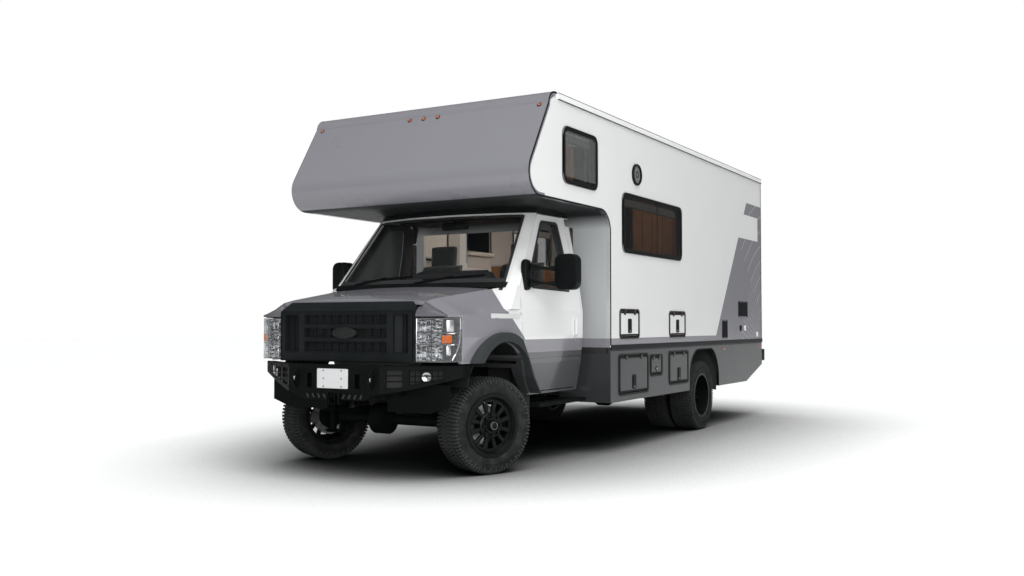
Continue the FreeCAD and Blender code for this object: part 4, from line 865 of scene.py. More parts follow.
class MOTORHOME_OT_headlamps(PieceOperator):
    """Replaces the solid headlamps with reflectors in a dark housing, amber lenses, bright trim and a clear cover."""
    bl_idname = "motorhome.headlamps"
    bl_label = "Headlamps"

    def build(self):
        low, high = node_box("headlamps")
        x0, x1 = GRILLE_X + 4, high.x - 2
        z0, z1 = low.z + 3, high.z - 3
        y = HOOD_FRONT
        # outline of the cover's face in plan, from the grille to the wing
        front = [(x0, y - 76), (CAB_X - 200, y - 70), (CAB_X - 97, y - 33), (CAB_X - 52, y + 45), (x1, y + 112)]
        shell = Shape()
        housing = [(x, yy + 52) for x, yy in front[:-1]] + [(x1, y + 115), (CAB_X - 300, y + 115), (x0, y + 70)]
        shell.plate(housing, "Z", z0 + 4, z1 - 4, 2, slot=1)
        bends = [Vector(point) for point in front[:3]]
        for za, zb in ((z0 + 12, 1022), (1032, 1108), (1118, z1 - 10)):
            for (a, b), t0, t1 in (((0, 1), 0.04, 0.97), ((1, 2), 0.06, 0.8)):
                self.bowl(shell, bends[a].lerp(bends[b], t0), bends[a].lerp(bends[b], t1), za, zb)
        for zc in (z0 + 6, 1027, 1113, z1 - 5):
            rail = [(x, yy + 5) for x, yy in front[:-1]] + [(x - 6, yy + 30) for x, yy in reversed(front[:-1])]
            shell.plate(rail, "Z", zc - 3, zc + 3, 1, slot=5)
        shell.box((x0, y - 71, z0), (x0 + 8, y + 60, z1), 2, slot=3)
        # amber turn lamp, side reflector and the bright edge that curls in at the foot
        turn = Matrix.Translation((CAB_X - 96, y - 4, 0)) @ Matrix.Rotation(math.radians(50), 4, "Z")
        for a, b, bevel, slot, steps in (
                ((-44, -14, 1036), (34, 30, 1096), 6, 2, 1), ((-10, -10, 1120), (50, 22, z1 - 16), 8, 4, 2),
                ((-10, -8, z0 + 50), (28, 22, 1018), 8, 4, 2), ((-10, -12, 1018), (52, 10, 1030), 3, 3, 1),
                ((-10, -12, 1102), (60, 10, 1112), 3, 3, 1)):
            shell.box(a, b, bevel, slot, turn, steps)
        edge = [(z1 - 6, 100), (1140, 104), (1040, 88), (z0 + 60, 46), (z0 + 14, 8)]
        spots = [(x1 - 4 - (104 - at) * 0.16, y + at, z) for z, at in edge]
        for start, end in zip(spots, spots[1:]):
            shell.rod(start, end, 7, steps=10, slot=3)
        shell.both_sides()
        shell.done("headlamp_bowls",
                   ["lamp_facets", "frame_grey", "amber_lens", "chrome", "bright_steel", "cast_metal"],
                   slot="lamp_lens", replaces=["headlamps"])
        # brow: a bowed panel from the hood's corner down to the lamp
        corner = Shape()
        top = [(664, -662, 1318), (698, -661, 1319), (706, -659, 1347), (770, -658, 1313), (840, -658, 1278),
               (905, -657, 1246)]
        foot = [(664, y - 76, 1236), (700, y - 75, 1236), (712, y - 75, 1236), (785, y - 71, 1236),
                (CAB_X - 150, y - 52, 1236), (CAB_X - 97, y - 34, 1236)]
        part = bmesh.new()
        ends = [(Vector(a), Vector(b)) for a, b in zip(top, foot)]
        rows = [[part.verts.new(a.lerp(b, t) + Vector((0, -bow, bow * 0.8))) for a, b in ends]
                for t, bow in ((0, 0), (0.25, 9), (0.5, 14), (0.78, 10), (1, 0))]
        skin(part, rows, False)
        bmesh.ops.solidify(part, geom=part.faces[:], thickness=4)
        outward(part)
        corner.take(part)
        corner.both_sides().done("lamp_brows", "wing_paint", slot="cab_white", smooth=60)
        cover = Shape()
        cover.plate(front + [(x - 4, yy + 4) for x, yy in reversed(front)], "Z", z0, z1, 1)
        cover.both_sides().done("headlamp_covers", "lens_glass", slot="lamp_lens")

    @staticmethod
    def bowl(shell, start, end, z0, z1):
        """Rectangular stepped reflector between two plan points, with a bulb cap."""
        width = (end - start).length
        turn = plan_turn(start, (end - start).normalized())
        zc, h = (z0 + z1) / 2, (z1 - z0) / 2
        part = bmesh.new()
        rings = []
        for grow, deep in ((1.0, 8), (0.93, 8), (0.8, 30), (0.55, 40), (0.2, 44)):
            ring = rounded(width / 2 * (1 - grow), width / 2 * (1 + grow), zc - h * grow, zc + h * grow,
                           min(width, 2 * h) * 0.16 * grow, 3)
            rings.append([part.verts.new((a, deep, b)) for a, b in ring])
        skin(part, rings, True)
        part.faces.new(rings[-1])
        outward(part)
        shell.take(part, 0, turn)
        shell.rod((width / 2, 46, zc), (width / 2, 26, zc), min(width, h) * 0.16, slot=3, bevel=3, place=turn)
        for k in (0.33, 0.67):
            shell.box((width * k - 0.8, 14, z0 + 4), (width * k + 0.8, 36, z1 - 4), slot=3, place=turn)


class MOTORHOME_OT_bumper(PieceOperator):
    """Replaces the plain front bumper with the plated one: slots, work lamps, tabs, receiver and number plate."""
    bl_idname = "motorhome.bumper"
    bl_label = "Front bumper"

    def build(self):
        y = BUMPER_Y
        z0, z1 = BUMPER_LOW, BUMPER_TOP
        shape = Shape()
        # centre plate, leaving two upright slots
        for x0, x1 in ((-436, -262), (-210, 210), (262, 436)):
            shape.pane(x0 - 1, x1 + 1, z0, z1, 2, 1, "Y", y, y + 9, 1.5)
        for side in (1, -1):
            for a, b in ((z0, 690), (800, z1)):
                shape.box(*between(side, 210, 262, (y, a), (y + 9, b)))
            shape.box(*between(side, 205, 267, (y + 40, 685), (y + 46, 805)), 1)
        shape.plate([(-436, y + 2), (436, y + 2), (436, y + 64), (-436, y + 64)], "Z", z1 - 9, z1, 2)
        for side in (1, -1):
            self.wing(shape, side)
        # sloping underside with slanted slots
        for side in (1, -1):
            for i in range(4):
                x = side * (95 + 56 * i)
                place = Matrix.Translation((x, y + 14, 628)) @ Matrix.Rotation(side * 0.5, 4, "Y")
                shape.box((-9, -3, -20), (9, 1, 20), 2, slot=1, place=place)
        shape.plate([(-430, 657), (430, 657), (290, 600), (-290, 600)], "Y", y + 12, y + 50, 3)
        # recovery tabs
        for side in (1, -1):
            x = side * 372
            tab = [(BUMPER_TIP + 1, 723), (BUMPER_TIP + 1, 789), (y + 4, 851), (y + 4, 669)]
            shape.plate(tab, "X", x - 12, x + 12, 4)
            shape.rod((x - 14, -902, 760), (x + 14, -902, 760), 17, slot=2, steps=24, bevel=2)
            shape.rod((x - 14.5, -902, 760), (x + 14.5, -902, 760), 11, slot=1, steps=24)
            for sx in (-1, 1):
                gusset = [(y + 2, 690), (y + 2, 830), (BUMPER_TIP + 22, 780), (BUMPER_TIP + 22, 740)]
                shape.plate(gusset, "X", x + sx * 16 - 5, x + sx * 16 + 5, 2)
        # receiver
        for x0, x1, a, b in ((-33, 33, 626, 633), (-33, 33, 567, 574), (-33, -26, 574, 626), (26, 33, 574, 626)):
            shape.box((x0, y - 14, a), (x1, y + 120, b), 1)
        shape.pane(-39, 39, 561, 639, 4, 2, "Y", y - 15, y - 5, 1.5, band=11)
        for side in (1, -1):
            shape.box(*between(side, 45, 62, (y - 4, 570), (y + 10, 660)), 2)
        # back beam and the shields behind the wings
        shape.box((-430, y + 62, 690), (430, y + 70, 850), 2)
        shield = ((300, 500), (700, 500), (880, 560), (880, 722), (300, 722))
        for side in (1, -1):
            shape.plate([(side * x, z) for x, z in shield], "Y", -588, -580, 2)
        for x, z in ((-180, 845), (180, 845), (-420, 845), (420, 845), (-300, 680), (300, 680)):
            shape.rod((x, y - 4, z), (x, y + 2, z), 9, steps=6, bevel=1.5)
        shape.done("bumper_plates", ["black_steel", "cabin_plastic", "bright_steel"], slot="bumper_black",
                   replaces=["front_bumper"])
        plate = Shape()
        plate.pane(-152, 152, 688, 838, 10, 4, "Y", y - 7, y - 4, 0.8)
        for x in (-88, 88):
            for z in (702, 763, 824):
                plate.rod((x, y - 8.4, z), (x, y - 4, z), 6, slot=1, steps=12)
        plate.box((-120, y - 4, 694), (120, y + 1, 832), 1, slot=2)
        plate.done("blank_number_plate", ["blank_label", "cabin_plastic", "black_steel"], slot="bumper_black")

    def wing(self, shape, side):
        """One swept side of the bumper with three slot rows, a framed work lamp and an end plate."""
        start, end = Vector((443, BUMPER_Y)), Vector((CAB_X - 18, -560))
        length = (end - start).length
        turn = plan_turn(start, (end - start).normalized())
        place = turn if side > 0 else MIRROR @ turn

        def low(t):
            """Height of the wing's lower edge, which rises towards its end."""
            return BUMPER_LOW + 125 * (t / length) ** 1.3

        def panel(a, b, za, zb, slot=0, front=0, deep=8):
            """Strip from a to b along the wing; without za it starts at the lower edge."""
            outline = [(a, low(a) if za is None else za), (b, low(b) if za is None else za), (b, zb), (a, zb)]
            shape.plate(outline, "Y", front, front + deep, 1, slot=slot, place=place)

        # ends of the two openings along the wing
        t1, t2, t3, t4 = 50, 175, 225, 480
        shape.plate([(0, 0), (length, 0), (length, 62), (0, 62)], "Z", BUMPER_TOP - 9, BUMPER_TOP, 2, place=place)
        for a, b in ((0, t1), (t2, t3), (t4, length)):
            panel(a, b, None, BUMPER_TOP)
        for a, b in ((t1, t2), (t3, t4)):
            shape.plate([(a, low(a)), (b, low(b)), (b, low(b) + 32), (a, low(a) + 38)], "Y", 0, 8, 1, place=place)
            panel(a, b, 835, BUMPER_TOP)
        for z in (752, 795):
            panel(t1, t2, z - 5, z + 5)
        panel(t1, t2, 700, 840, 1, 40, 4)
        # lamp opening: grid bars, lamp pod behind
        for z in (750, 792):
            panel(t3, t4, z - 4, z + 4)
        for t in (270, 312, 395, 440):
            panel(t - 4, t + 4, low(t) + 30, 835)
        back = [(t3, low(t3) + 12), (t4, low(t4) + 12), (t4, 840), (t3, 840)]
        shape.plate(back, "Y", 56, 60, 1, slot=1, place=place)
        shape.rod((352, 50, 784), (352, 14, 784), 42, slot=1, steps=28, bevel=3, place=place)
        shape.lathe([(0, 4), (5, 4), (14, 34), (9, 34)], (352, 20, 784), 2, 28, place=place, axis=(0, -1, 0))
        for t, z in ((20, 850), (20, 690), (200, 850), (500, 850), (560, 850), (640, 850), (520, 790), (600, 815)):
            if t < length - 20:
                shape.rod((t, -4, z), (t, 2, z), 7, steps=6, bevel=1, place=place)
        # end plate back to the arch
        end_plate = [(length - 2, 0), (length + 52, 32), (length + 46, 40), (length - 8, 9)]
        shape.plate(end_plate, "Z", 782, BUMPER_TOP, 1, place=place)
        shape.plate([(0, 58), (length - 20, 58), (length - 20, 64), (0, 64)], "Z", 780, 862, 1, place=place)


class MOTORHOME_OT_cab_trim(PieceOperator):
    """Adds windscreen seal, cowl, wipers, door handles, side-window seals and mirror glass."""
    bl_idname = "motorhome.cab_trim"
    bl_label = "Cab trim"

    def build(self):
        self.windscreen_seal()
        self.wipers()
        self.door_trim()
        strip, c = Shape(), CAB_X
        strip.plate([(c - 24, -165), (c - 14.5, -165), (c - 6, 285), (c - 14, 285)], "Z", 1224, 1262, 1)
        strip.both_sides().done("blank_name_strips", "blank_label", slot="cab_white")
        self.mirror_trim()

    @staticmethod
    def screen_point(x, z):
        """Point on the outside of the windscreen; x as a share of its half width there."""
        t = (z - 1500) / (NOSE_Z - 1500)
        half = GLASS_HALF - 94 * (z - 1518) / 617
        corner_x = CAB_X - 95 - 130 * t
        corner_y, middle_y = 235 + 565 * t, 100 + 550 * t
        bulge = ((x * half) / corner_x) ** 2
        return Vector((x * half, middle_y + (corner_y - middle_y) * bulge, z))

    @staticmethod
    def strip(shape, points, inner, deep):
        """Band between a line of points and a second line inside it, given a thickness along Y."""
        shape.tube([[p + Vector((0, d - 3, 0)) for p in line]
                    for d, line in ((0, points), (0, inner), (deep, inner), (deep, points))])

    def windscreen_seal(self):
        shape = Shape()
        point = self.screen_point
        top, bottom = 2128, 1524
        shares = [i / 12 - 1 for i in range(25)]
        for edge, inside in ((top, top - 20), (bottom - 4, bottom + 34)):
            self.strip(shape, [point(s, edge) for s in shares], [point(s * 0.99, inside) for s in shares], 10)
        for side in (1, -1):
            levels = [bottom - 4 + (top - bottom + 4) * i / 12 for i in range(13)]
            self.strip(shape, [point(side, z) for z in levels], [point(side * 0.975, z) for z in levels], 10)
        shape.done("windscreen_seal", "cabin_plastic", slot="dash_plastic")
        cowl = Shape()
        line = [point(s * 1.02, 1500) + Vector((0, -6, 0)) for s in shares]
        self.strip(cowl, [p + Vector((0, -16, -20)) for p in line], [p + Vector((0, 8, 24)) for p in line], 20)
        cowl.done("cowl", "mirror_plastic", slot="dash_plastic")

    def wipers(self):
        shape = Shape()
        length = sizes().wiper_length
        for x0 in (-640, 60):
            foot = self.screen_point(x0 / GLASS_HALF, 1530) + Vector((0, -16, -6))
            share = (x0 + length * 0.62) / GLASS_HALF
            tip = self.screen_point(min(share, 0.9), 1580) + Vector((0, -22, 0))
            shape.rod(foot + Vector((0, 12, -18)), foot + Vector((0, -8, 6)), 16, bevel=4)
            shape.rod(foot, tip, 13, end_radius=8, steps=8)
            # blade and the rubber under it
            a = self.screen_point((tip.x - length * 0.5) / GLASS_HALF, 1552) + Vector((0, -10, 0))
            b = self.screen_point(min((tip.x + length * 0.5) / GLASS_HALF, 0.96), 1590) + Vector((0, -10, 0))
            shape.rod(a, b, 9, steps=6)
            shape.rod(a + Vector((0, 4, -8)), b + Vector((0, 4, -8)), 5, steps=6)
        shape.done("wipers", "mirror_plastic", slot="dash_plastic")

    @staticmethod
    def side_x(z):
        """Half-width of the cab's skin at a height."""
        levels = ((585, CAB_X - 70), (850, CAB_X - 20), (1080, CAB_X), (1300, CAB_X), (1500, CAB_X - 30),
                  (NOSE_Z, CAB_X - 165))
        for (za, xa), (zb, xb) in zip(levels, levels[1:]):
            if z <= zb:
                return xa + (xb - xa) * (z - za) / (zb - za)
        return levels[-1][1]

    def door_trim(self):
        window = [(455, 1530), (545, 1492), (1180, 1480), (1206, 1560), (1200, 1850), (1172, 2062), (1145, 2082),
                  (885, 2078), (850, 2055)]
        cy = sum(p[0] for p in window) / len(window)
        cz = sum(p[1] for p in window) / len(window)
        for name, side in SIDES:
            shape = Shape()
            part = bmesh.new()
            rings = []
            for grow, out in ((1.045, 1.5), (1.045, 3.5), (0.955, 3.5), (0.955, -16)):
                grown = [(cy + (y - cy) * grow, cz + (z - cz) * grow) for y, z in window]
                rings.append([part.verts.new((self.side_x(z) + out, y, z)) for y, z in grown])
            skin(part, rings, True)
            outward(part)
            bmesh.ops.solidify(part, geom=part.faces[:], thickness=1.0)
            shape.take(part)
            # upright pull handle with its recess, lock and a belt moulding
            x = self.side_x(1160)
            shape.pane(1226, 1284, 1066, 1248, 16, 4, "X", x - 1, x + 3, 1, slot=1)
            shape.pane(1238, 1270, 1080, 1234, 12, 4, "X", x + 8, x + 26, 5, slot=1, segments=2)
            for z in (1094, 1220):
                shape.box((x, 1244, z - 9), (x + 12, 1264, z + 9), 2, slot=1)
            shape.rod((x, 1255, 1040), (x + 3, 1255, 1040), 9, slot=2, steps=20, bevel=1)
            shape.done("door_trim_" + name, ["cabin_plastic", "white_paint", "bright_steel"], "cab_door_" + name,
                       "dash_plastic", place=FLIP[side])

    def mirror_trim(self):
        """Rounded mirror heads on two arms that grow out of a base on the door."""
        x0, x1 = CAB_X + 108, node_box("mirror_left")[1].x
        for name, side in SIDES:
            shape = Shape()
            shape.pane(x0, x1, 1467, 1771, 66, 8, "Y", 656, 752, 46, segments=6)
            shape.pane(x0 + 8, x1 - 8, 1475, 1763, 60, 8, "Y", 738, 764, 6, segments=2)
            for z0, z1, radius in ((1572, 1748, 30), (1490, 1556, 22)):
                shape.pane(x0 + 24, x1 - 24, z0, z1, radius, 5, "Y", 763.5, 765, 0.4, slot=1)
            for z in (1520, 1650):
                shape.rod((CAB_X - 26, 430, z), (CAB_X + 34, 545, z), 44, end_radius=15, steps=24)
                shape.rod((CAB_X + 20, 520, z), (CAB_X + 122, 705, z), 13, steps=14)
                shape.rod((CAB_X + 74, 618, z), (CAB_X + 118, 700, z), 15, end_radius=27, steps=18)
            base = [(370, 1458), (450, 1462), (478, 1490), (478, 1690), (452, 1714), (398, 1720), (372, 1690)]
            shape.plate(base, "X", CAB_X - 62, CAB_X - 8, 16, segments=3)
            shape.done("mirror_cover_" + name, ["mirror_plastic", "chrome"], "cab_door_" + name, "grille_black",
                       replaces=["mirror_" + name], place=FLIP[side])


# ---- living body
WINDOW_LOW, WINDOW_TOP = 1854, 2417
# windows: y0, y1, z0, z1, whether a bar divides the pane
WINDOWS_LEFT = ((WALL_FRONT - 947, WALL_FRONT - 287, NOSE_Z + 159.5, ROOF_Z - 255, False),
                (WALL_FRONT + 268, WALL_FRONT + 1808, WINDOW_LOW, WINDOW_TOP, True))
WINDOWS_RIGHT = (WINDOWS_LEFT[0], (WALL_FRONT + 268, WALL_FRONT + 932, WINDOW_LOW, WINDOW_TOP, False),
                 (REAR_AXLE - 113, REAR_AXLE + 887, WINDOW_LOW, WINDOW_TOP, True))
FRAME_BAND = 34
WALL_THICK = 40
DOOR_FRONT, DOOR_REAR = WALL_FRONT + 1182, WALL_FRONT + 1862
LOCKERS = ("locker_left_1", "locker_left_2", "locker_left_3", "locker_left_4", "locker_left_5", "locker_right_1")


def arc(start, middle, end, steps=8):
    """Points of the arc through three points."""
    (ax, ay), (bx, by), (cx, cy) = start, middle, end
    d = 2 * (ax * (by - cy) + bx * (cy - ay) + cx * (ay - by))
    a2, b2, c2 = ax * ax + ay * ay, bx * bx + by * by, cx * cx + cy * cy
    ux = (a2 * (by - cy) + b2 * (cy - ay) + c2 * (ay - by)) / d
    uy = (a2 * (cx - bx) + b2 * (ax - cx) + c2 * (bx - ax)) / d
    t0, t1, t2 = (math.atan2(y - uy, x - ux) for x, y in (start, middle, end))
    if (t1 - t0) % (2 * math.pi) > (t2 - t0) % (2 * math.pi):
        sweep = -((t0 - t2) % (2 * math.pi))
    else:
        sweep = (t2 - t0) % (2 * math.pi)
    r = math.hypot(ax - ux, ay - uy)
    turns = [t0 + sweep * i / steps for i in range(steps + 1)]
    return [(ux + r * math.cos(t), uy + r * math.sin(t)) for t in turns]


def ribbon(shape, line, width, low, high):
    """Strip of a given width along a line of (y, z) points, on the left of its direction, from x low to high."""
    points = [Vector(p) for p in line]
    inner = []
    for i, p in enumerate(points):
        before = (p - points[i - 1]).normalized() if i else None
        after = (points[i + 1] - p).normalized() if i < len(points) - 1 else None
        way = ((before or after) + (after or before)).normalized()
        side = Vector((-way.y, way.x))
        grow = 1 / max(0.5, side.dot(Vector((-(before or after).y, (before or after).x))))
        inner.append(p + side * width * grow)
    shape.tube([[(x, *p) for p in row]
                for x, row in ((low, points), (high, points), (high, inner), (low, inner))])


def grown(box, by):
    """Box in 2D (a0, a1, b0, b1) made larger, or smaller below zero, on every side."""
    return box[0] - by, box[1] + by, box[2] - by, box[3] + by


class MOTORHOME_OT_paintwork(PieceOperator):
    """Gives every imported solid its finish."""
    bl_idname = "motorhome.paintwork"
    bl_label = "Paintwork"

    TABLE = {
        "frame_steel": "frame_rails cross_members front_axle rear_axle knuckle_left knuckle_right drive_shaft "
                       "running_boards",
        "cast_metal": "engine_block",
        "cabin_plastic": "fuel_tank storage_boxes dashboard",
        "flap_rubber": "mud_flaps",
        "rim_black": "rim_front_left rim_front_right rims_rear_left rims_rear_right",
        "cab_paint": "cab_shell hood cab_door_left cab_door_right",
        "wing_paint": "front_wings",
        "nose_paint": "overcab_cap",
        "side_paint": "side_wall_left side_wall_right locker_left_1 locker_left_2",
        "plain_paint": "roof rear_wall entry_door",
        "shade_paint": "front_wall",
        "band_paint": "skirts locker_left_3 locker_left_4 locker_left_5 locker_right_1",
        "black_trim": "grille",
        "flare_plastic": "wheel_arch_flares",
        "mirror_plastic": "mirror_left mirror_right",
        "black_steel": "front_bumper rear_bumper",
        "rail_finish": "side_rails",
        "opening_finish": "opening_frames",
        "clear_glass": "windscreen door_glass_left",
        "film_glass": "door_glass_right",
        "dark_glass": "window_glass entry_door_glass",
        "timber": "cabinets",
        "deck": "floor",
        "tyre_rubber": "tyre_front_left tyre_front_right tyres_rear_left tyres_rear_right",
        "seat_cloth": "cab_seats",
        "white_lens": "headlamps lamps",
        "silver_frame": "roof_fittings service_covers",
    }

    def build(self):
        c = colours()
        roof = ROOF_Z / 1000
        rail = Finish("rail_finish", specular_ior_level=0.07)
        z = rail.axes()[2]
        upper = z.above(2)
        line = z.above(roof - 0.006).either(z.below(roof - 0.051)) * upper
        tone = rail.mix(upper, c.black, c.body_white)
        rail.set(base_color=rail.mix(line, tone, (0.06, 0.065, 0.065)), roughness=rail.noise(9, 3) * 0.1 + 0.32,
                 coat_weight=upper * 0.2)
        frames = Finish("opening_finish", specular_ior_level=0.07)
        upper = frames.axes()[2].above(1.5)
        frames.set(base_color=frames.mix(upper, (0.0085, 0.0105, 0.01), (0.01, 0.011, 0.011)),
                   roughness=frames.noise(30, 3) * 0.1 + 0.3)
        textured("flap_rubber", (0.045, 0.048, 0.049), 0.65, grain=200, depth=0.0004, dust=0.2)
        deck = Finish("deck", coat_weight=0.1)
        x, y, z = deck.axes()
        plank = (x * 6.5).math("FRACT").above(0.975, 0.02)
        grain = deck.noise(1, 5, deck.stretched((40, 3, 40)), 0.6)
        wood = deck.mix(grain, (0.16, 0.1, 0.055), (0.3, 0.2, 0.12))
        wood = deck.mix(plank, wood, (0.05, 0.035, 0.02))
        # the underside and the cab's part of the floor aren't planked
        dull = z.below(WAIST_Z / 1000 - 0.004).either(y.below(WALL_FRONT / 1000 + 0.01))
        deck.set(base_color=deck.mix(dull, wood, (0.02, 0.02, 0.02)), roughness=grain * 0.1 + 0.4)
        for look, names in self.TABLE.items():
            for name in names.split():
                mesh = NODES[name].data
                mesh.materials.clear()
                mesh.materials.append(finish(look))


class MOTORHOME_OT_edge_trim(PieceOperator):
    """Adds the black strips along the nose's outline, under the overhang and down the body's front edge."""
    bl_idname = "motorhome.edge_trim"
    bl_label = "Edge trim"

    def build(self):
        width = sizes().trim_width
        r, k = 190.0, 190 * 0.2929
        line = arc((470, ROOF_Z), (362, ROOF_Z - 27), (322, ROOF_Z - 106), 10)
        line += arc((7, NOSE_Z + 264.5), (12, NOSE_Z + 96.5), (185, NOSE_Z), 14)
        line += arc((WALL_FRONT - r, NOSE_Z), (WALL_FRONT - k, NOSE_Z - k), (WALL_FRONT, NOSE_Z - r), 10)
        line += [(WALL_FRONT, WAIST_Z + 22)]
        shape = Shape()
        ribbon(shape, line, width, WALL_X - 2, WALL_X + 3)
        ribbon(shape, [(WALL_REAR, WAIST_Z + 22), (WALL_REAR, ROOF_Z - 58)], width, WALL_X - 2, WALL_X + 3)
        # bottom edge of the skirt and lips of the wheel arch
        arch = [(REAR_AXLE - 423, SKIRT_Z), (REAR_AXLE - 423, 640)]
        arch += arc((REAR_AXLE - 423, 640), (REAR_AXLE - 333, 820), (REAR_AXLE - 153, 894), 8)[1:]
        arch += arc((REAR_AXLE + 281, 894), (REAR_AXLE + 427, 800), (REAR_AXLE + 519, 600), 8)
        arch.append((REAR_AXLE + 519, SKIRT_Z))
        ribbon(shape, arch, 12, WALL_X - 20, WALL_X + 3)
        shape.both_sides().done("edge_trim", "black_trim", slot="trim_black")
        seams = Shape()
        seams.box((WALL_X - 1, WALL_FRONT + 8, WAIST_Z - 33), (WALL_X + 1.5, WALL_REAR - 6, WAIST_Z - 27), 1)
        seams.both_sides().done("skirt_seams", "black_trim", slot="trim_black")


class MOTORHOME_OT_windows(PieceOperator):
    """Adds seals, second frame steps, dividers and blinds to the living-room windows."""
    bl_idname = "motorhome.windows"
    bl_label = "Body windows"

    # rims round a window: growth, corner radius and its steps, low, high, bevel, band, slot
    RIMS = ((3 - FRAME_BAND, 46, 6, 7, 11.5, 1, 9, 0), (4, 73, 7, -0.5, 3, 1, 5, 0), (3, 72, 7, 2, 14.5, 1.5, 13, 1),
            (-11, 60, 7, 11, 13.5, 0.6, 12, 0))

    def rims(self, shape, window, axis, wall, rims, place=None):
        for by, radius, steps, low, high, bevel, band, slot in rims:
            shape.pane(*grown(window, by), radius, steps, axis, wall + low, wall + high, bevel, slot=slot,
                        band=band, place=place)

    def build(self):
        seal, inside = Shape(), Shape()
        x, x_in = WALL_X, WALL_X - WALL_THICK
        for table, side in ((WINDOWS_LEFT, 1), (WINDOWS_RIGHT, -1)):
            place = FLIP[side]
            for *window, split in table:
                y0, y1, z0, z1 = window
                self.rims(seal, window, "X", x, self.RIMS, place)
                if split:
                    y = y0 + (y1 - y0) * 0.55
                    seal.box((x + 7.5, y - 9, z0 + FRAME_BAND), (x + 11, y + 9, z1 - FRAME_BAND), 1, place=place)
                # inner frame, pleated blind and the blind's rail; one blind on the right is drawn down
                inside.pane(*grown(window, -2), 40, 5, "X", x_in - 22, x_in - 1, 3, band=36, place=place)
                drawn = side < 0 and not split and z1 == WINDOW_TOP
                drop = z0 + 48 if drawn else z1 - 108
                inside.box((x_in - 18, y0 + 36, drop), (x_in - 8, y1 - 36, z1 - 36), 2, slot=1, place=place)
                inside.box((x_in - 20, y0 + 36, drop - 10), (x_in - 5, y1 - 36, drop + 2), 2, slot=2, place=place)
        self.rims(seal, (-450, 450, WINDOW_LOW, WINDOW_TOP), "Y", WALL_REAR, self.RIMS[:3])
        seal.done("window_seals", ["black_trim", "silver_frame"], slot="trim_black")
        inside.done("window_blinds", ["lining", "blind_cloth", "silver_frame"], slot="cabinet_wood")


class MOTORHOME_OT_hatches(PieceOperator):
    """Adds latches, locks and inner seals to the locker doors and fittings to the entry door."""
    bl_idname = "motorhome.hatches"
    bl_label = "Hatches and entry door"

    def build(self):
        frames = Shape()
        face = WALL_X + 4
        for name in LOCKERS:
            low, high = node_box(name)
            place = None if high.x > 0 else MIRROR
            y = (low.y + high.y) / 2
            upper = low.z > WAIST_Z
            z = (low.z + high.z) / 2 - 26 if upper else low.z + (high.z - low.z) * 0.27
            shape = Shape()
            if name == "locker_left_4":
                shape.rod((face - 1, y, z), (face + 4, y, z), 24, steps=28, bevel=1.5)
                shape.rod((face + 3, y, z), (face + 7, y, z), 13, slot=1, steps=24, bevel=1.5)
            else:
                self.paddle(shape, face, y, z)
            # raised panel line, hinge cover and lower edge
            line = rounded(low.y + 1, high.y - 1, low.z + 1, high.z - 12, 22, 5)
            shape.plate(line, "X", face - 0.5, face + 2, 0.8, band=16, slot=2)
            for a, b in ((high.z - 30, high.z - 12), (low.z + 1, low.z + 18)):
                strip = rounded(low.y + 3, high.y - 3, a, b, 7, 4)
                shape.plate(strip, "X", face + 1, face + 3.5, 1, slot=2)
            shape.done(name + "_latch", ["mirror_plastic", "bright_steel", "black_trim"], name, "trim_black",
                       place=place)
            top = JOINTS[name + "_hinge"]["pos_m"][2] * 1000 + 21
            frames.pane(low.y - 31, high.y + 31, low.z - 31, top, 50, 7, "X", WALL_X + 5.5, WALL_X + 8, 0.8,
                         band=27, place=place)
        frames.done("locker_frames", "black_trim", slot="trim_black")
        self.entry()

    @staticmethod
    def paddle(shape, x, y, z):
        """Upright paddle latch in a rounded plate."""
        shape.pane(y - 42, y + 42, z - 68, z + 68, 16, 4, "X", x - 1, x + 5, 1.5)
        shape.pane(y - 30, y + 30, z - 32, z + 56, 10, 4, "X", x + 4, x + 9, 2.5)
        shape.rod((x + 4, y, z - 49), (x + 7, y, z - 49), 7, slot=1, steps=14, bevel=1)

    def entry(self):
        door = y0, y1, z0, z1 = DOOR_FRONT, DOOR_REAR, WAIST_Z + 35, ROOF_Z - 236
        window = y0 + 140, y1 - 140, z1 - 1010, z1 - 360
        x = WALL_X + 2
        shape = Shape()
        shape.pane(*grown(window, 22), 76, 6, "X", x - 1, x + 9, 3, band=30, slot=2)
        shape.pane(*grown(door, -10), 48, 6, "X", x - 1, x + 2, 1, band=6)
        self.paddle(shape, x + 1, y1 - 80, z0 + 690)
        shape.pane(y1 - 112, y1 - 50, z0 + 720, z0 + 880, 12, 3, "X", x, x + 14, 5)
        panel = rounded(y0 + 60, y1 - 130, z0 + 90, z0 + 560, 30, 5)
        shape.plate(panel, "X", x - 0.5, x + 1, 0.5, band=3)
        # lining on the inside
        lining = rounded(y0 + 60, y1 - 60, z0 + 80, z0 + 640, 24, 4)
        shape.plate(lining, "X", WALL_X - 60, WALL_X - WALL_THICK + 1, 6, slot=3)
        shape.done("entry_door_fittings", ["mirror_plastic", "bright_steel", "silver_frame", "lining"],
                   "entry_door", "trim_black", place=MIRROR)
        fixed = Shape()
        fixed.pane(*grown(door, 26), 80, 6, "X", WALL_X - 1, WALL_X + 5, 1.5, band=22, slot=1)
        # grab bar beside the door
        yg = y1 + 70
        fixed.rod((WALL_X + 46, yg, z0 + 560), (WALL_X + 46, yg, z0 + 960), 11, bevel=3)
        for z in (z0 + 580, z0 + 940):
            fixed.rod((WALL_X - 1, yg, z), (WALL_X + 46, yg, z), 12)
            fixed.rod((WALL_X - 1, yg, z), (WALL_X + 5, yg, z), 24, bevel=1.5)
        fixed.done("entry_surround", ["mirror_plastic", "silver_frame"], slot="trim_black", place=MIRROR)


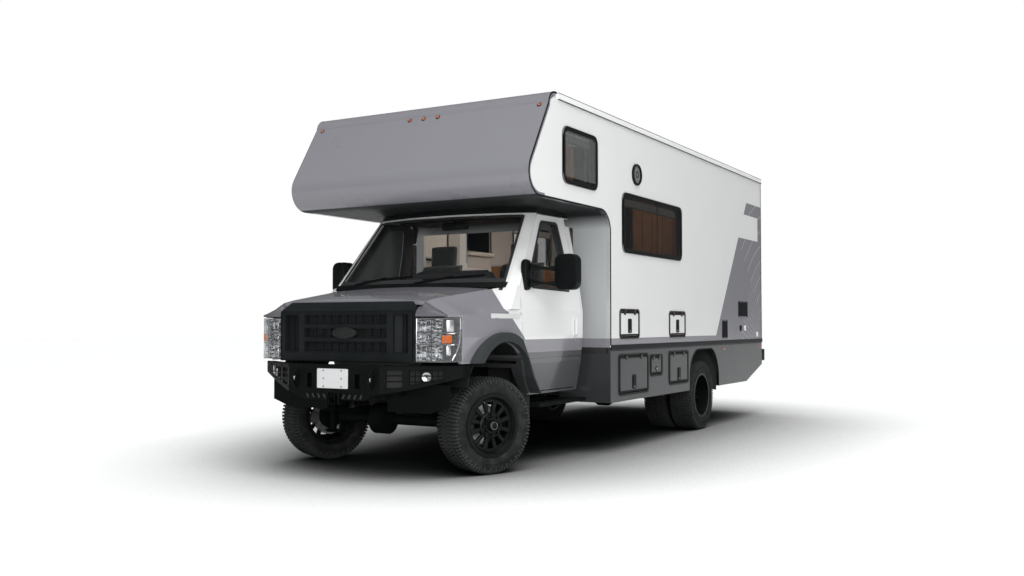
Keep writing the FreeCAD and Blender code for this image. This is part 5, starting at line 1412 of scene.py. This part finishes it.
class MOTORHOME_OT_covers(PieceOperator):
    """Replaces the plain service covers with louvres, a round lamp, sockets and a port."""
    bl_idname = "motorhome.covers"
    bl_label = "Service covers"

    def build(self):
        x = WALL_X
        shape = Shape()
        for y0, y1, z0, z1, count in ((REAR_AXLE + 672, REAR_AXLE + 843, 1010, 1224, 7),
                                      (REAR_AXLE + 1293, REAR_AXLE + 1645, 1268, 1461, 6)):
            shape.pane(y0, y1, z0, z1, 10, 3, "X", x - 1, x + 8, 1.5, band=15)
            shape.box((x - 1, y0 + 8, z0 + 8), (x + 1, y1 - 8, z1 - 8))
            gap = (z1 - z0 - 34) / count
            for i in range(count):
                zc = z0 + 17 + gap * (i + 0.5)
                slat = Matrix.Translation((x + 3.5, 0, zc)) @ Matrix.Rotation(math.radians(-30), 4, "Y")
                shape.box((-1.2, y0 + 12, -gap * 0.42), (1.2, y1 - 12, gap * 0.42), 0.4, place=slat)
        at = (x - 1, WALL_FRONT + 605, WINDOW_TOP + 205)
        shape.lathe([(0, 86), (18, 84), (25, 90), (25, 98), (18, 104), (0, 104)], at, 0, 64)
        shape.lathe([(0, 0.5), (14, 0.5), (14, 60), (8, 86), (0, 86)], at, 1, 48)
        shape.lathe([(13, 20), (16, 22), (16, 34), (13, 36)], at, 0, 32)
        for y, z, radius, slot in ((REAR_AXLE + 1373, 1127, 36, 0), (REAR_AXLE + 1553, 1127, 34, 2),
                                   (REAR_AXLE + 2073, 1046, 34, 2)):
            cap = [(0, 0.5), (8, 0.5), (12, 6), (12, radius - 8), (8, radius), (0, radius)]
            shape.lathe(cap, (x, y, z), slot, 40)
            shape.box((x + 11, y - 10, z + radius - 14), (x + 13, y + 10, z + radius - 4), 1, slot=slot)
            shape.rod((x + 10, y, z), (x + 13, y, z), 9, slot=3, bevel=1)
        shape.done("service_covers_detail", ["black_trim", "lamp_grey", "plain_paint", "frame_grey"],
                   slot="trim_black", replaces=["service_covers"])


class MOTORHOME_OT_lamps(PieceOperator):
    """Replaces the marker and tail lamp blocks with lensed ones and adds the rear plate place and reflectors."""
    bl_idname = "motorhome.lamps"
    bl_label = "Lamps"

    def build(self):
        low, high = Vector((0, 7, NOSE_Z + 264.5)), Vector((0, 322, ROOF_Z - 106))
        rise = (high - low).normalized()
        out = Vector((0, -rise.z, rise.y))
        shape = Shape()
        for x, slot in ((79 - WALL_X, 1), (-150, 1), (0, 1), (150, 1), (WALL_X - 79, 1)):
            at = high - rise * 20 + Vector((x, 0, 0))
            shape.lathe([(0, 1), (5, 1), (5, 17), (3, 20), (0, 20)], at, 0, 28, axis=out)
            shape.lathe([(5, 0.5), (13.5, 0.5), (12, 9), (5, 14)], at, slot, 24, axis=out)
        y = WALL_REAR
        for side in (1, -1):
            place = FLIP[side]
            x0, x1, z0, z1 = WALL_X - 169, WALL_X - 109, WAIST_Z + 75, WAIST_Z + 365
            shape.pane(x0, x1, z0, z1, 12, 4, "Y", y - 1, y + 10, 3, place=place)
            for a, b, slot in ((z0 + 8, z0 + 98, 3), (z0 + 102, z0 + 188, 2), (z0 + 192, z1 - 8, 1)):
                shape.pane(x0 + 7, x1 - 7, a, b, 9, 4, "Y", y + 8, y + 20, 4, slot=slot, place=place)
            shape.box((x1 + 8, y - 1, 1300), (x1 + 34, y + 6, 1400), 2, slot=2, place=place)
            # side reflectors on the skirt
            for at, slot in ((REAR_AXLE + 700, 1), (WALL_REAR - 120, 2)):
                shape.box((WALL_X - 1, at, 870), (WALL_X + 3, at + 78, 896), 1, slot=slot, place=place)
        shape.done("lamp_lenses", ["black_trim", "amber_lens", "red_lens", "white_lens"], slot="lamp_red",
                   replaces=["lamps"])
        rear = Shape()
        rear.pane(-175, 175, 1180, 1355, 10, 4, "Y", WALL_REAR - 1, WALL_REAR + 8, 2)
        rear.pane(-155, 155, 1192, 1343, 8, 3, "Y", WALL_REAR + 7, WALL_REAR + 10, 1, slot=1)
        rear.box((-60, WALL_REAR - 1, 1362), (60, WALL_REAR + 26, 1388), 5)
        rear.lathe([(0, 1), (12, 1), (20, 14), (24, 40), (0, 46)], (0, WALL_REAR - 1, ROOF_Z - 180), 0, 32,
                   axis=(0, 1, 0))
        # steps, bolts, label and end caps of the rear bumper
        tip = WALL_REAR + 130
        for x in (-900, -300, 300, 900):
            rear.box((x - 190, WALL_REAR + 20, 846), (x + 190, tip - 12, 849), 0.8, slot=2)
        for x in (-1090, -980, 980, 1090):
            rear.rod((x, tip - 4, 772), (x, tip + 6, 772), 9, slot=3, steps=6, bevel=1.5)
        rear.box((-160, tip - 2, 712), (160, tip + 5, 832), 2)
        for s in (1, -1):
            rear.box((s * 1207 - 22, WALL_REAR + 18, 698), (s * 1207 + 22, tip, 847), 7, segments=2)
        rear.done("rear_details", ["black_trim", "blank_label", "flare_plastic", "bright_steel"], slot="trim_black")


class MOTORHOME_OT_roof(PieceOperator):
    """Replaces the roof boxes with hatches under domed lids and framed solar panels."""
    bl_idname = "motorhome.roof"
    bl_label = "Roof fittings"

    def build(self):
        z = ROOF_Z
        shape, dome = Shape(), Shape()
        for y in (WALL_FRONT + 182, REAR_AXLE + 687):
            shape.pane(-250, 250, y, y + 500, 30, 5, "Z", z - 1, z + 34, 5, band=30)
            shape.pane(-222, 222, y + 28, y + 472, 22, 4, "Z", z + 2, z + 6, 0, slot=2)
            dome.pane(-240, 240, y + 10, y + 490, 34, 6, "Z", z + 33, z + 59, 16, segments=4)
            for x in (-90, 90):
                dome.box((x - 14, y + 40, z + 56), (x + 14, y + 460, z + 60), 3)
        for y in (WALL_FRONT + 932, WALL_FRONT + 2032):
            shape.pane(-550, 550, y, y + 1000, 8, 3, "Z", z + 10, z + 35, 2, slot=3, band=22)
            shape.pane(-530, 530, y + 20, y + 980, 4, 2, "Z", z + 22, z + 31, 0, slot=4)
            for x in (-500, 500):
                for at in (y + 60, y + 860):
                    shape.box((x - 50, at, z - 1), (x + 50, at + 80, z + 14), 4)
            shape.box((-40, y + 960, z - 1), (40, y + 1040, z + 30), 6, slot=1)
        shape.done("roof_hatches_and_panels",
                   ["plain_paint", "black_trim", "cabin_plastic", "bright_steel", "solar_cells"],
                   slot="roof_plastic", replaces=["roof_fittings"])
        dome.done("roof_domes", "dome_plastic", slot="roof_plastic")


# ---- cabin
SEAT_X = 450.0
CABIN_RIGHT = -WALL_X + WALL_THICK                # inner face of the right wall
# seat pads: name, outline in (y, z), half width, edge radius
SEAT_PADS = (
    ("cushion", [(652, 1012), (1090, 1012), (1090, 1112), (1040, 1122), (760, 1122), (652, 1096)], 226, 26),
    ("backrest", [(1092, 1124), (1186, 1134), (1308, 1744), (1250, 1750), (1216, 1700), (1100, 1180)], 222, 24),
    ("headrest", [(1262, 1736), (1326, 1740), (1346, 1934), (1276, 1934)], 140, 18))
# side bolsters of those pads: outline, distance from the pad's side, half width
BOLSTERS = {"cushion": ([(670, 1090), (1060, 1100), (1060, 1140), (700, 1128)], 30, 26),
            "backrest": ([(1084, 1190), (1130, 1190), (1240, 1700), (1196, 1690)], 28, 24)}
CLOTH_FRAMES = 14


def simulate_pad(piece, push, cap):
    """Blows a closed pad up with cloth and keeps each vertex within a cap of its rest place."""
    context = bpy.context
    fine = piece.modifiers.new("fine", "REMESH")
    fine.mode, fine.voxel_size = "VOXEL", 0.011
    context.view_layer.update()
    mesh = bpy.data.meshes.new_from_object(piece.evaluated_get(context.evaluated_depsgraph_get()))
    piece.modifiers.clear()
    old, piece.data = piece.data, mesh
    for item in old.materials:
        if item.name not in [m.name for m in mesh.materials if m]:
            mesh.materials.append(item)
    rest = [v.co.copy() for v in mesh.vertices]
    cloth = piece.modifiers.new("cloth", "CLOTH")
    s = cloth.settings
    s.quality, s.mass = 6, 0.3
    s.tension_stiffness = s.compression_stiffness = 40
    s.shear_stiffness, s.bending_stiffness = 20, 2
    s.use_pressure, s.uniform_pressure_force = True, push
    s.effector_weights.gravity = 0
    cloth.collision_settings.use_self_collision = False
    scene = context.scene
    cloth.point_cache.frame_start, cloth.point_cache.frame_end = 1, CLOTH_FRAMES
    for number in range(1, CLOTH_FRAMES + 1):
        scene.frame_set(number)
    grown = bpy.data.meshes.new_from_object(piece.evaluated_get(context.evaluated_depsgraph_get()))
    spots = [v.co.copy() for v in grown.vertices]
    piece.modifiers.clear()
    scene.frame_set(1)
    for v, a, b in zip(mesh.vertices, rest, spots):
        move = b - a
        v.co = a + move * (min(1, cap / move.length) if move.length > 1e-9 else 1)
    bpy.data.meshes.remove(grown)
    part = bmesh.new()
    part.from_mesh(mesh)
    bmesh.ops.smooth_vert(part, verts=part.verts, factor=0.5, use_axis_x=True, use_axis_y=True, use_axis_z=True)
    part.to_mesh(mesh)
    part.free()
    mesh.shade_smooth()


class MOTORHOME_OT_seats(PieceOperator):
    """Replaces the seat blocks with stuffed pads on rigid frames."""
    bl_idname = "motorhome.seats"
    bl_label = "Cab seats"

    def build(self):
        frame = Shape()
        for side_name, side in SIDES:
            x = side * SEAT_X
            for name, outline, half, radius in SEAT_PADS:
                pad = Shape()
                pad.plate(outline, "X", x - half, x + half, radius, segments=3)
                if name in BOLSTERS:
                    line, inset, reach = BOLSTERS[name]
                    for at in (x + half - inset, x - half + inset):
                        pad.plate(line, "X", at - reach, at + reach, 14, segments=2)
                piece = pad.done("%s_%s" % (name, side_name), "seat_cloth", slot="seat_fabric",
                                 replaces=["cab_seats"] if name == "cushion" and side > 0 else ())
                simulate_pad(piece, 4, 0.007)
            # base, hinge cover, back shell and headrest rods
            for outline, half, bevel in (([(690, 620), (1090, 620), (1090, 1014), (690, 1014)], 190, 14),
                                         ([(1100, 1010), (1196, 1010), (1204, 1190), (1196, 1200)], 236, 8),
                                         ([(1190, 1132), (1204, 1132), (1328, 1748), (1312, 1748)], 200, 4)):
                frame.plate(outline, "X", x - half, x + half, bevel)
            for at in (x - 60, x + 60):
                frame.rod((at, 1270, 1720), (at, 1306, 1800), 7, slot=1, steps=12)
            # arm rest and its bracket on the aisle side
            for a, b, low, high, bevel in ((246, 206, (1060, 1240), (1130, 1300), 10),
                                           (240, 208, (800, 1262), (1120, 1300), 12)):
                frame.box(*between(side, SEAT_X - a, SEAT_X - b, low, high), bevel)
        frame.done("seat_frames", ["cabin_plastic", "chrome"], slot="seat_fabric")


class MOTORHOME_OT_cab_interior(PieceOperator):
    """Replaces the dash block with a moulded one and a steering wheel, and adds the mirror, a shelf and linings."""
    bl_idname = "motorhome.cab_interior"
    bl_label = "Cab interior"

    def build(self):
        half = CAB_X - 100
        y0 = node_box("dashboard")[0].y
        dash = Shape()
        knees = [(y0, 1122), (514, 1122), (588, 1300), (y0, 1300)]
        # shelf, knee panels, two tiers of the hood, dials, middle stack and its screen
        for outline, a, b, bevel, slot, steps in (
                ([(y0, 1300), (560, 1300), (596, 1330), (560, 1424), (520, 1440), (y0, 1466)],
                 4 - half, half - 4, 14, 0, 2), (knees, 4 - half, -346, 10, 0, 1), (knees, 346, half - 4, 10, 0, 1),
                ([(345, 1440), (566, 1410), (584, 1480), (566, 1590), (500, 1634), (400, 1606), (350, 1510)],
                 -250, 600, 26, 0, 3),
                ([(380, 1500), (560, 1500), (556, 1610), (500, 1649), (420, 1628)], -170, 560, 22, 0, 3),
                ([(576, 1412), (583, 1446), (574, 1450), (567, 1416)], 300, 610, 0, 1, 1),
                ([(556, 1316), (596, 1326), (574, 1440), (540, 1446)], -140, 150, 8, 2, 1),
                ([(588, 1340), (593, 1340), (580, 1424), (574, 1424)], -110, 120, 1, 1, 1)):
            dash.plate(outline, "X", a, b, bevel, slot, segments=steps)
        for x in (-760, -240, 210, 760):
            for i in range(4):
                dash.box((x - 46, 572, 1376 + 11 * i), (x + 46, 590, 1381 + 11 * i), 1, slot=2)
        for x in (-half + 40, half - 40):
            dash.box((x - 26, y0 + 8, 1440), (x + 26, 420, 1474), 8)
        # steering wheel
        centre, axis = Vector((SEAT_X, 720, 1420)), Vector((0, 0.9, 0.45)).normalized()
        turns = [math.radians(30 * i) for i in range(12)]
        ring = [(16 * math.cos(t), 190 + 16 * math.sin(t)) for t in turns]
        dash.lathe(ring, centre, 2, 56, axis=axis)
        place = Matrix.Translation(centre) @ axis.to_track_quat("Z", "Y").to_matrix().to_4x4()
        for i in (0, 6, 9):
            dash.box((30, -16, -14), (184, 16, 6), 5, slot=2, place=place @ Matrix.Rotation(turns[i], 4, "Z"))
        dash.pane(-62, 62, -48, 52, 30, 5, "Z", -30, 16, 12, slot=2, place=place, segments=2)
        dash.rod((SEAT_X, 560, 1340), (SEAT_X, 712, 1416), 34, slot=2, bevel=6)
        for s in (1, -1):
            dash.rod((SEAT_X, 660, 1392), (SEAT_X + s * 150, 668, 1404), 7, slot=2)
        dash.done("dash_moulding", ["cabin_plastic", "dark_screen", "mirror_plastic"], slot="dash_plastic",
                  replaces=["dashboard"])
        top = NOSE_Z - 60
        fittings = Shape()
        fittings.pane(-95, 185, 2030, 2100, 24, 5, "Y", 735, 757, 8, segments=2)
        fittings.rod((45, 740, 2085), (45, 700, 2135), 10)
        fittings.box((-700, 900, top - 14), (700, 1330, top - 2), 5, slot=1)
        fittings.done("cab_upper_fittings", ["mirror_plastic", "cabin_plastic"], slot="dash_plastic")
        for name, side in SIDES:
            panel = Shape()
            lining = [(600, 700), (1310, 700), (1340, 900), (1340, 1440), (600, 1450)]
            panel.plate(lining, "X", CAB_X - 82, CAB_X - 68, 4)
            panel.box((CAB_X - 150, 740, 1190), (CAB_X - 80, 1230, 1232), 12)
            panel.box((CAB_X - 120, 700, 760), (CAB_X - 80, 1280, 880), 14, slot=1)
            panel.done("door_lining_" + name, ["cabin_plastic", "mirror_plastic"], "cab_door_" + name, "dash_plastic",
                       place=FLIP[side])


class MOTORHOME_OT_living_room(PieceOperator):
    """Adds cupboard fronts, the worktop, a bench pad, panelling and the roller blind of the entry door."""
    bl_idname = "motorhome.living_room"
    bl_label = "Living room"

    def build(self):
        x0 = CABIN_RIGHT
        after = DOOR_REAR + 20
        shape = Shape()
        # fronts of the kitchen, the lockers over it and the bench by the door
        for x, ya, yb, za, zb, count in (
                (x0 + 429, after, WALL_REAR - 396, WAIST_Z + 40, WAIST_Z + 880, 5),
                (x0 + 329, after + 600, WALL_REAR - 396, ROOF_Z - 590, ROOF_Z - 60, 4),
                (x0 + 489, WALL_FRONT + 82, WALL_FRONT + 732, WAIST_Z + 40, WAIST_Z + 430, 2)):
            step = (yb - ya) / count
            for i in range(count):
                a, b = ya + step * i + 6, ya + step * (i + 1) - 6
                shape.pane(a, b, za, zb, 10, 3, "X", x - 1, x + 17, 3)
                shape.pane(a + 40, b - 40, za + 40, zb - 40, 8, 3, "X", x + 16, x + 20, 1, band=10)
                shape.box((x + 16, (a + b) / 2 - 50, zb - 30), (x + 30, (a + b) / 2 + 50, zb - 20), 3, slot=1)
        # worktop and bench pad
        shape.box((x0 - 0.5, after - 4, WAIST_Z + 899), (x0 + 449, WALL_REAR - 392, WAIST_Z + 925), 5, slot=2)
        shape.box((x0 - 0.5, WALL_FRONT + 78, WAIST_Z + 449), (x0 + 500, WALL_FRONT + 736, WAIST_Z + 520), 24, slot=3,
                  segments=3)
        # light panel high on the left wall, locker under the ceiling, panelled partition and rear wall
        shape.box((WALL_X - 56, WALL_FRONT + 340, 2570), (WALL_X - 42, WALL_FRONT + 1840, 2900), 3, slot=4)
        z = ROOF_Z - 52
        for i in range(8):
            x = -260 + 145 * i
            shape.box((x, WALL_FRONT + 1082, z - 420), (x + 120, WALL_FRONT + 1100, z), 4, slot=5 if i % 3 else 0)
        shape.box((-264, WALL_FRONT + 1100, z - 424), (900, WALL_FRONT + 1420, z), 4)
        y = WALL_FRONT + 2382
        shape.box((424, y + 18, WAIST_Z + 2), (WALL_X - 44, y + 900, ROOF_Z - 54), 4, slot=5)
        for x in range(424, 1168, 124):
            shape.box((x, y, WAIST_Z + 40), (x + 118, y + 19, ROOF_Z - 60), 4)
        shape.box((800, y - 12, 1800), (812, y + 2, 2000), 3, slot=1)
        for i in range(15):
            x = -690 + 118 * i
            foot = 2440 if abs(x + 55) < 560 else 1560  # boards over the rear window are short
            shape.box((x, WALL_REAR - 62, foot), (x + 112, WALL_REAR - 42, 2980), 3, slot=0 if i % 5 else 5)
        shape.done("cupboard_fronts",
                   ["timber", "bright_steel", "lining", "seat_cloth", "ceiling_light", "dark_timber"],
                   slot="cabinet_wood")
        # window pane, frame, lining and roller blind on the entry door's inside
        blind = Shape()
        x, y0, y1, z0, z1 = CABIN_RIGHT, DOOR_FRONT + 190, DOOR_REAR - 50, 2020, 2480
        blind.box((x - 1, y0, z0), (x + 16, y1, z1), 3, slot=3)
        blind.pane(y0 - 34, y1 + 34, z0 - 34, z1 + 34, 8, 2, "X", x - 0.5, x + 24, 3, slot=1, band=36)
        blind.box((x - 0.5, y0 - 30, 1830), (x + 12, y1 + 30, z0 - 30), 2, slot=1)
        blind.rod((x + 34, y0 - 44, z0 - 28), (x + 34, y1 + 44, z0 - 28), 27, slot=2, bevel=4)
        for y in (y0 + 60, (y0 + y1) / 2, y1 - 60):
            blind.box((x + 20, y - 14, z0 - 4), (x + 46, y + 14, z0 + 12), 4)
        blind.done("door_blind", ["cabin_plastic", "lining", "blind_cloth", "dark_screen"], "entry_door",
                   "cabinet_wood")


# ---- stage
class MOTORHOME_OT_stage(PieceOperator):
    """Adds the white floor with a painted shadow round the vehicle, the plain light and the camera."""
    bl_idname = "motorhome.stage"
    bl_label = "Stage"

    def build(self):
        scene = bpy.context.scene
        paper = Finish("paper", specular_ior_level=0.05)
        # painted shadow: the floor turns near black where ambient occlusion finds the vehicle over it
        clear_of_painted_shadow = paper.node("ShaderNodeAmbientOcclusion", {"samples": 12}, distance=2.6, out=1) ** 2.2
        paper.set(base_color=paper.mix(clear_of_painted_shadow, (0, 0.002, 0.002), (0.95, 0.95, 0.95)),
                  roughness=paper.noise(2) * 0.1 + 0.85)
        floor = bmesh.new()
        bmesh.ops.create_grid(floor, x_segments=1, y_segments=1, size=60)
        mesh = bpy.data.meshes.new("floor")
        floor.to_mesh(mesh)
        floor.free()
        mesh.materials.append(finish("paper"))
        ground = bpy.data.objects.new("stage_floor", mesh)
        scene.collection.objects.link(ground)

        world = bpy.data.worlds.new("plain")
        scene.world = world
        world.use_nodes = True
        nodes, links = world.node_tree.nodes, world.node_tree.links
        nodes.clear()
        out = nodes.new("ShaderNodeOutputWorld")
        path = nodes.new("ShaderNodeLightPath")
        # what the camera sees, what lights the scene, what shines in mirrors
        backs = []
        for colour, strength in (((1, 1, 1, 1), 1), ((0.96, 0.98, 1, 1), 0.3), ((0.96, 0.98, 1, 1), 0.13)):
            back = nodes.new("ShaderNodeBackground")
            back.inputs[0].default_value, back.inputs[1].default_value = colour, strength
            backs.append(back)
        seen, light, shine = backs
        mirrored, shown = nodes.new("ShaderNodeMixShader"), nodes.new("ShaderNodeMixShader")
        # light falls off towards the horizon
        spot, parts = nodes.new("ShaderNodeTexCoord"), nodes.new("ShaderNodeSeparateXYZ")
        slope = nodes.new("ShaderNodeMapRange")
        slope.inputs["To Min"].default_value, slope.inputs["To Max"].default_value = 0.04, 0.44
        for source, target in (
                (spot.outputs["Generated"], parts.inputs[0]), (parts.outputs[2], slope.inputs[0]),
                (slope.outputs[0], light.inputs[1]), (path.outputs["Is Glossy Ray"], mirrored.inputs[0]),
                (light.outputs[0], mirrored.inputs[1]), (shine.outputs[0], mirrored.inputs[2]),
                (path.outputs["Is Camera Ray"], shown.inputs[0]), (mirrored.outputs[0], shown.inputs[1]),
                (seen.outputs[0], shown.inputs[2]), (shown.outputs[0], out.inputs[0])):
            links.new(source, target)

        for name, kind, power, size, place, target in (
                ("sun", "SUN", 2.7, 1.1, (5, -4, 14), (0, 0, 0)),
                ("fill", "AREA", 520, 5, (7.0, -10.5, 3.4), (0, AXLE_Y, 1.4))):
            lamp = bpy.data.lights.new(name, kind)
            lamp.energy = power
            if kind == "SUN":
                lamp.angle = size
            else:
                lamp.size = size
            thing = bpy.data.objects.new(name, lamp)
            thing.location = place
            thing.rotation_euler = (Vector(target) - Vector(place)).to_track_quat("-Z", "Y").to_euler()
            scene.collection.objects.link(thing)

        camera = bpy.data.cameras.new("camera")
        camera.lens, camera.sensor_width = sizes().lens, 36
        camera.clip_end = 300
        view = bpy.data.objects.new("camera", camera)
        view.location = (5.0616, AXLE_Y - 6.8551, 1.1813)
        view.rotation_euler = (math.pi / 2 + 0.0356, 0, 0.5268)
        scene.collection.objects.link(view)
        scene.camera = view
        scene.view_settings.view_transform = "Standard"


# ---- add-on
OPERATORS = (MOTORHOME_OT_paintwork, MOTORHOME_OT_tyres, MOTORHOME_OT_wheel_trim, MOTORHOME_OT_grille,
             MOTORHOME_OT_headlamps, MOTORHOME_OT_bumper, MOTORHOME_OT_cab_trim, MOTORHOME_OT_edge_trim,
             MOTORHOME_OT_windows, MOTORHOME_OT_hatches, MOTORHOME_OT_covers, MOTORHOME_OT_lamps, MOTORHOME_OT_roof,
             MOTORHOME_OT_seats, MOTORHOME_OT_cab_interior, MOTORHOME_OT_living_room, MOTORHOME_OT_stage)


class MOTORHOME_PT_panel(bpy.types.Panel):
    """Lists the operators and the settings in the sidebar."""
    bl_label = "Motorhome"
    bl_space_type = "VIEW_3D"
    bl_region_type = "UI"
    bl_category = "Motorhome"

    def draw(self, context):
        column = self.layout.column()
        for group in (context.scene.motorhome_sizes, context.scene.motorhome_colours):
            for name in group.__annotations__:
                column.prop(group, name)
        for operator in OPERATORS:
            column.operator(operator.bl_idname)


CLASSES = (MOTORHOME_PG_colours, MOTORHOME_PG_sizes, *OPERATORS, MOTORHOME_PT_panel)


def register():
    for item in CLASSES:
        bpy.utils.register_class(item)
    bpy.types.Scene.motorhome_colours = PointerProperty(type=MOTORHOME_PG_colours)
    bpy.types.Scene.motorhome_sizes = PointerProperty(type=MOTORHOME_PG_sizes)


def unregister():
    del bpy.types.Scene.motorhome_sizes
    del bpy.types.Scene.motorhome_colours
    for item in reversed(CLASSES):
        bpy.utils.unregister_class(item)


def main():
    register()
    make_finishes()
    for operator in OPERATORS:
        group, name = operator.bl_idname.split(".")
        getattr(getattr(bpy.ops, group), name)()


if __name__ == "__main__":
    main()
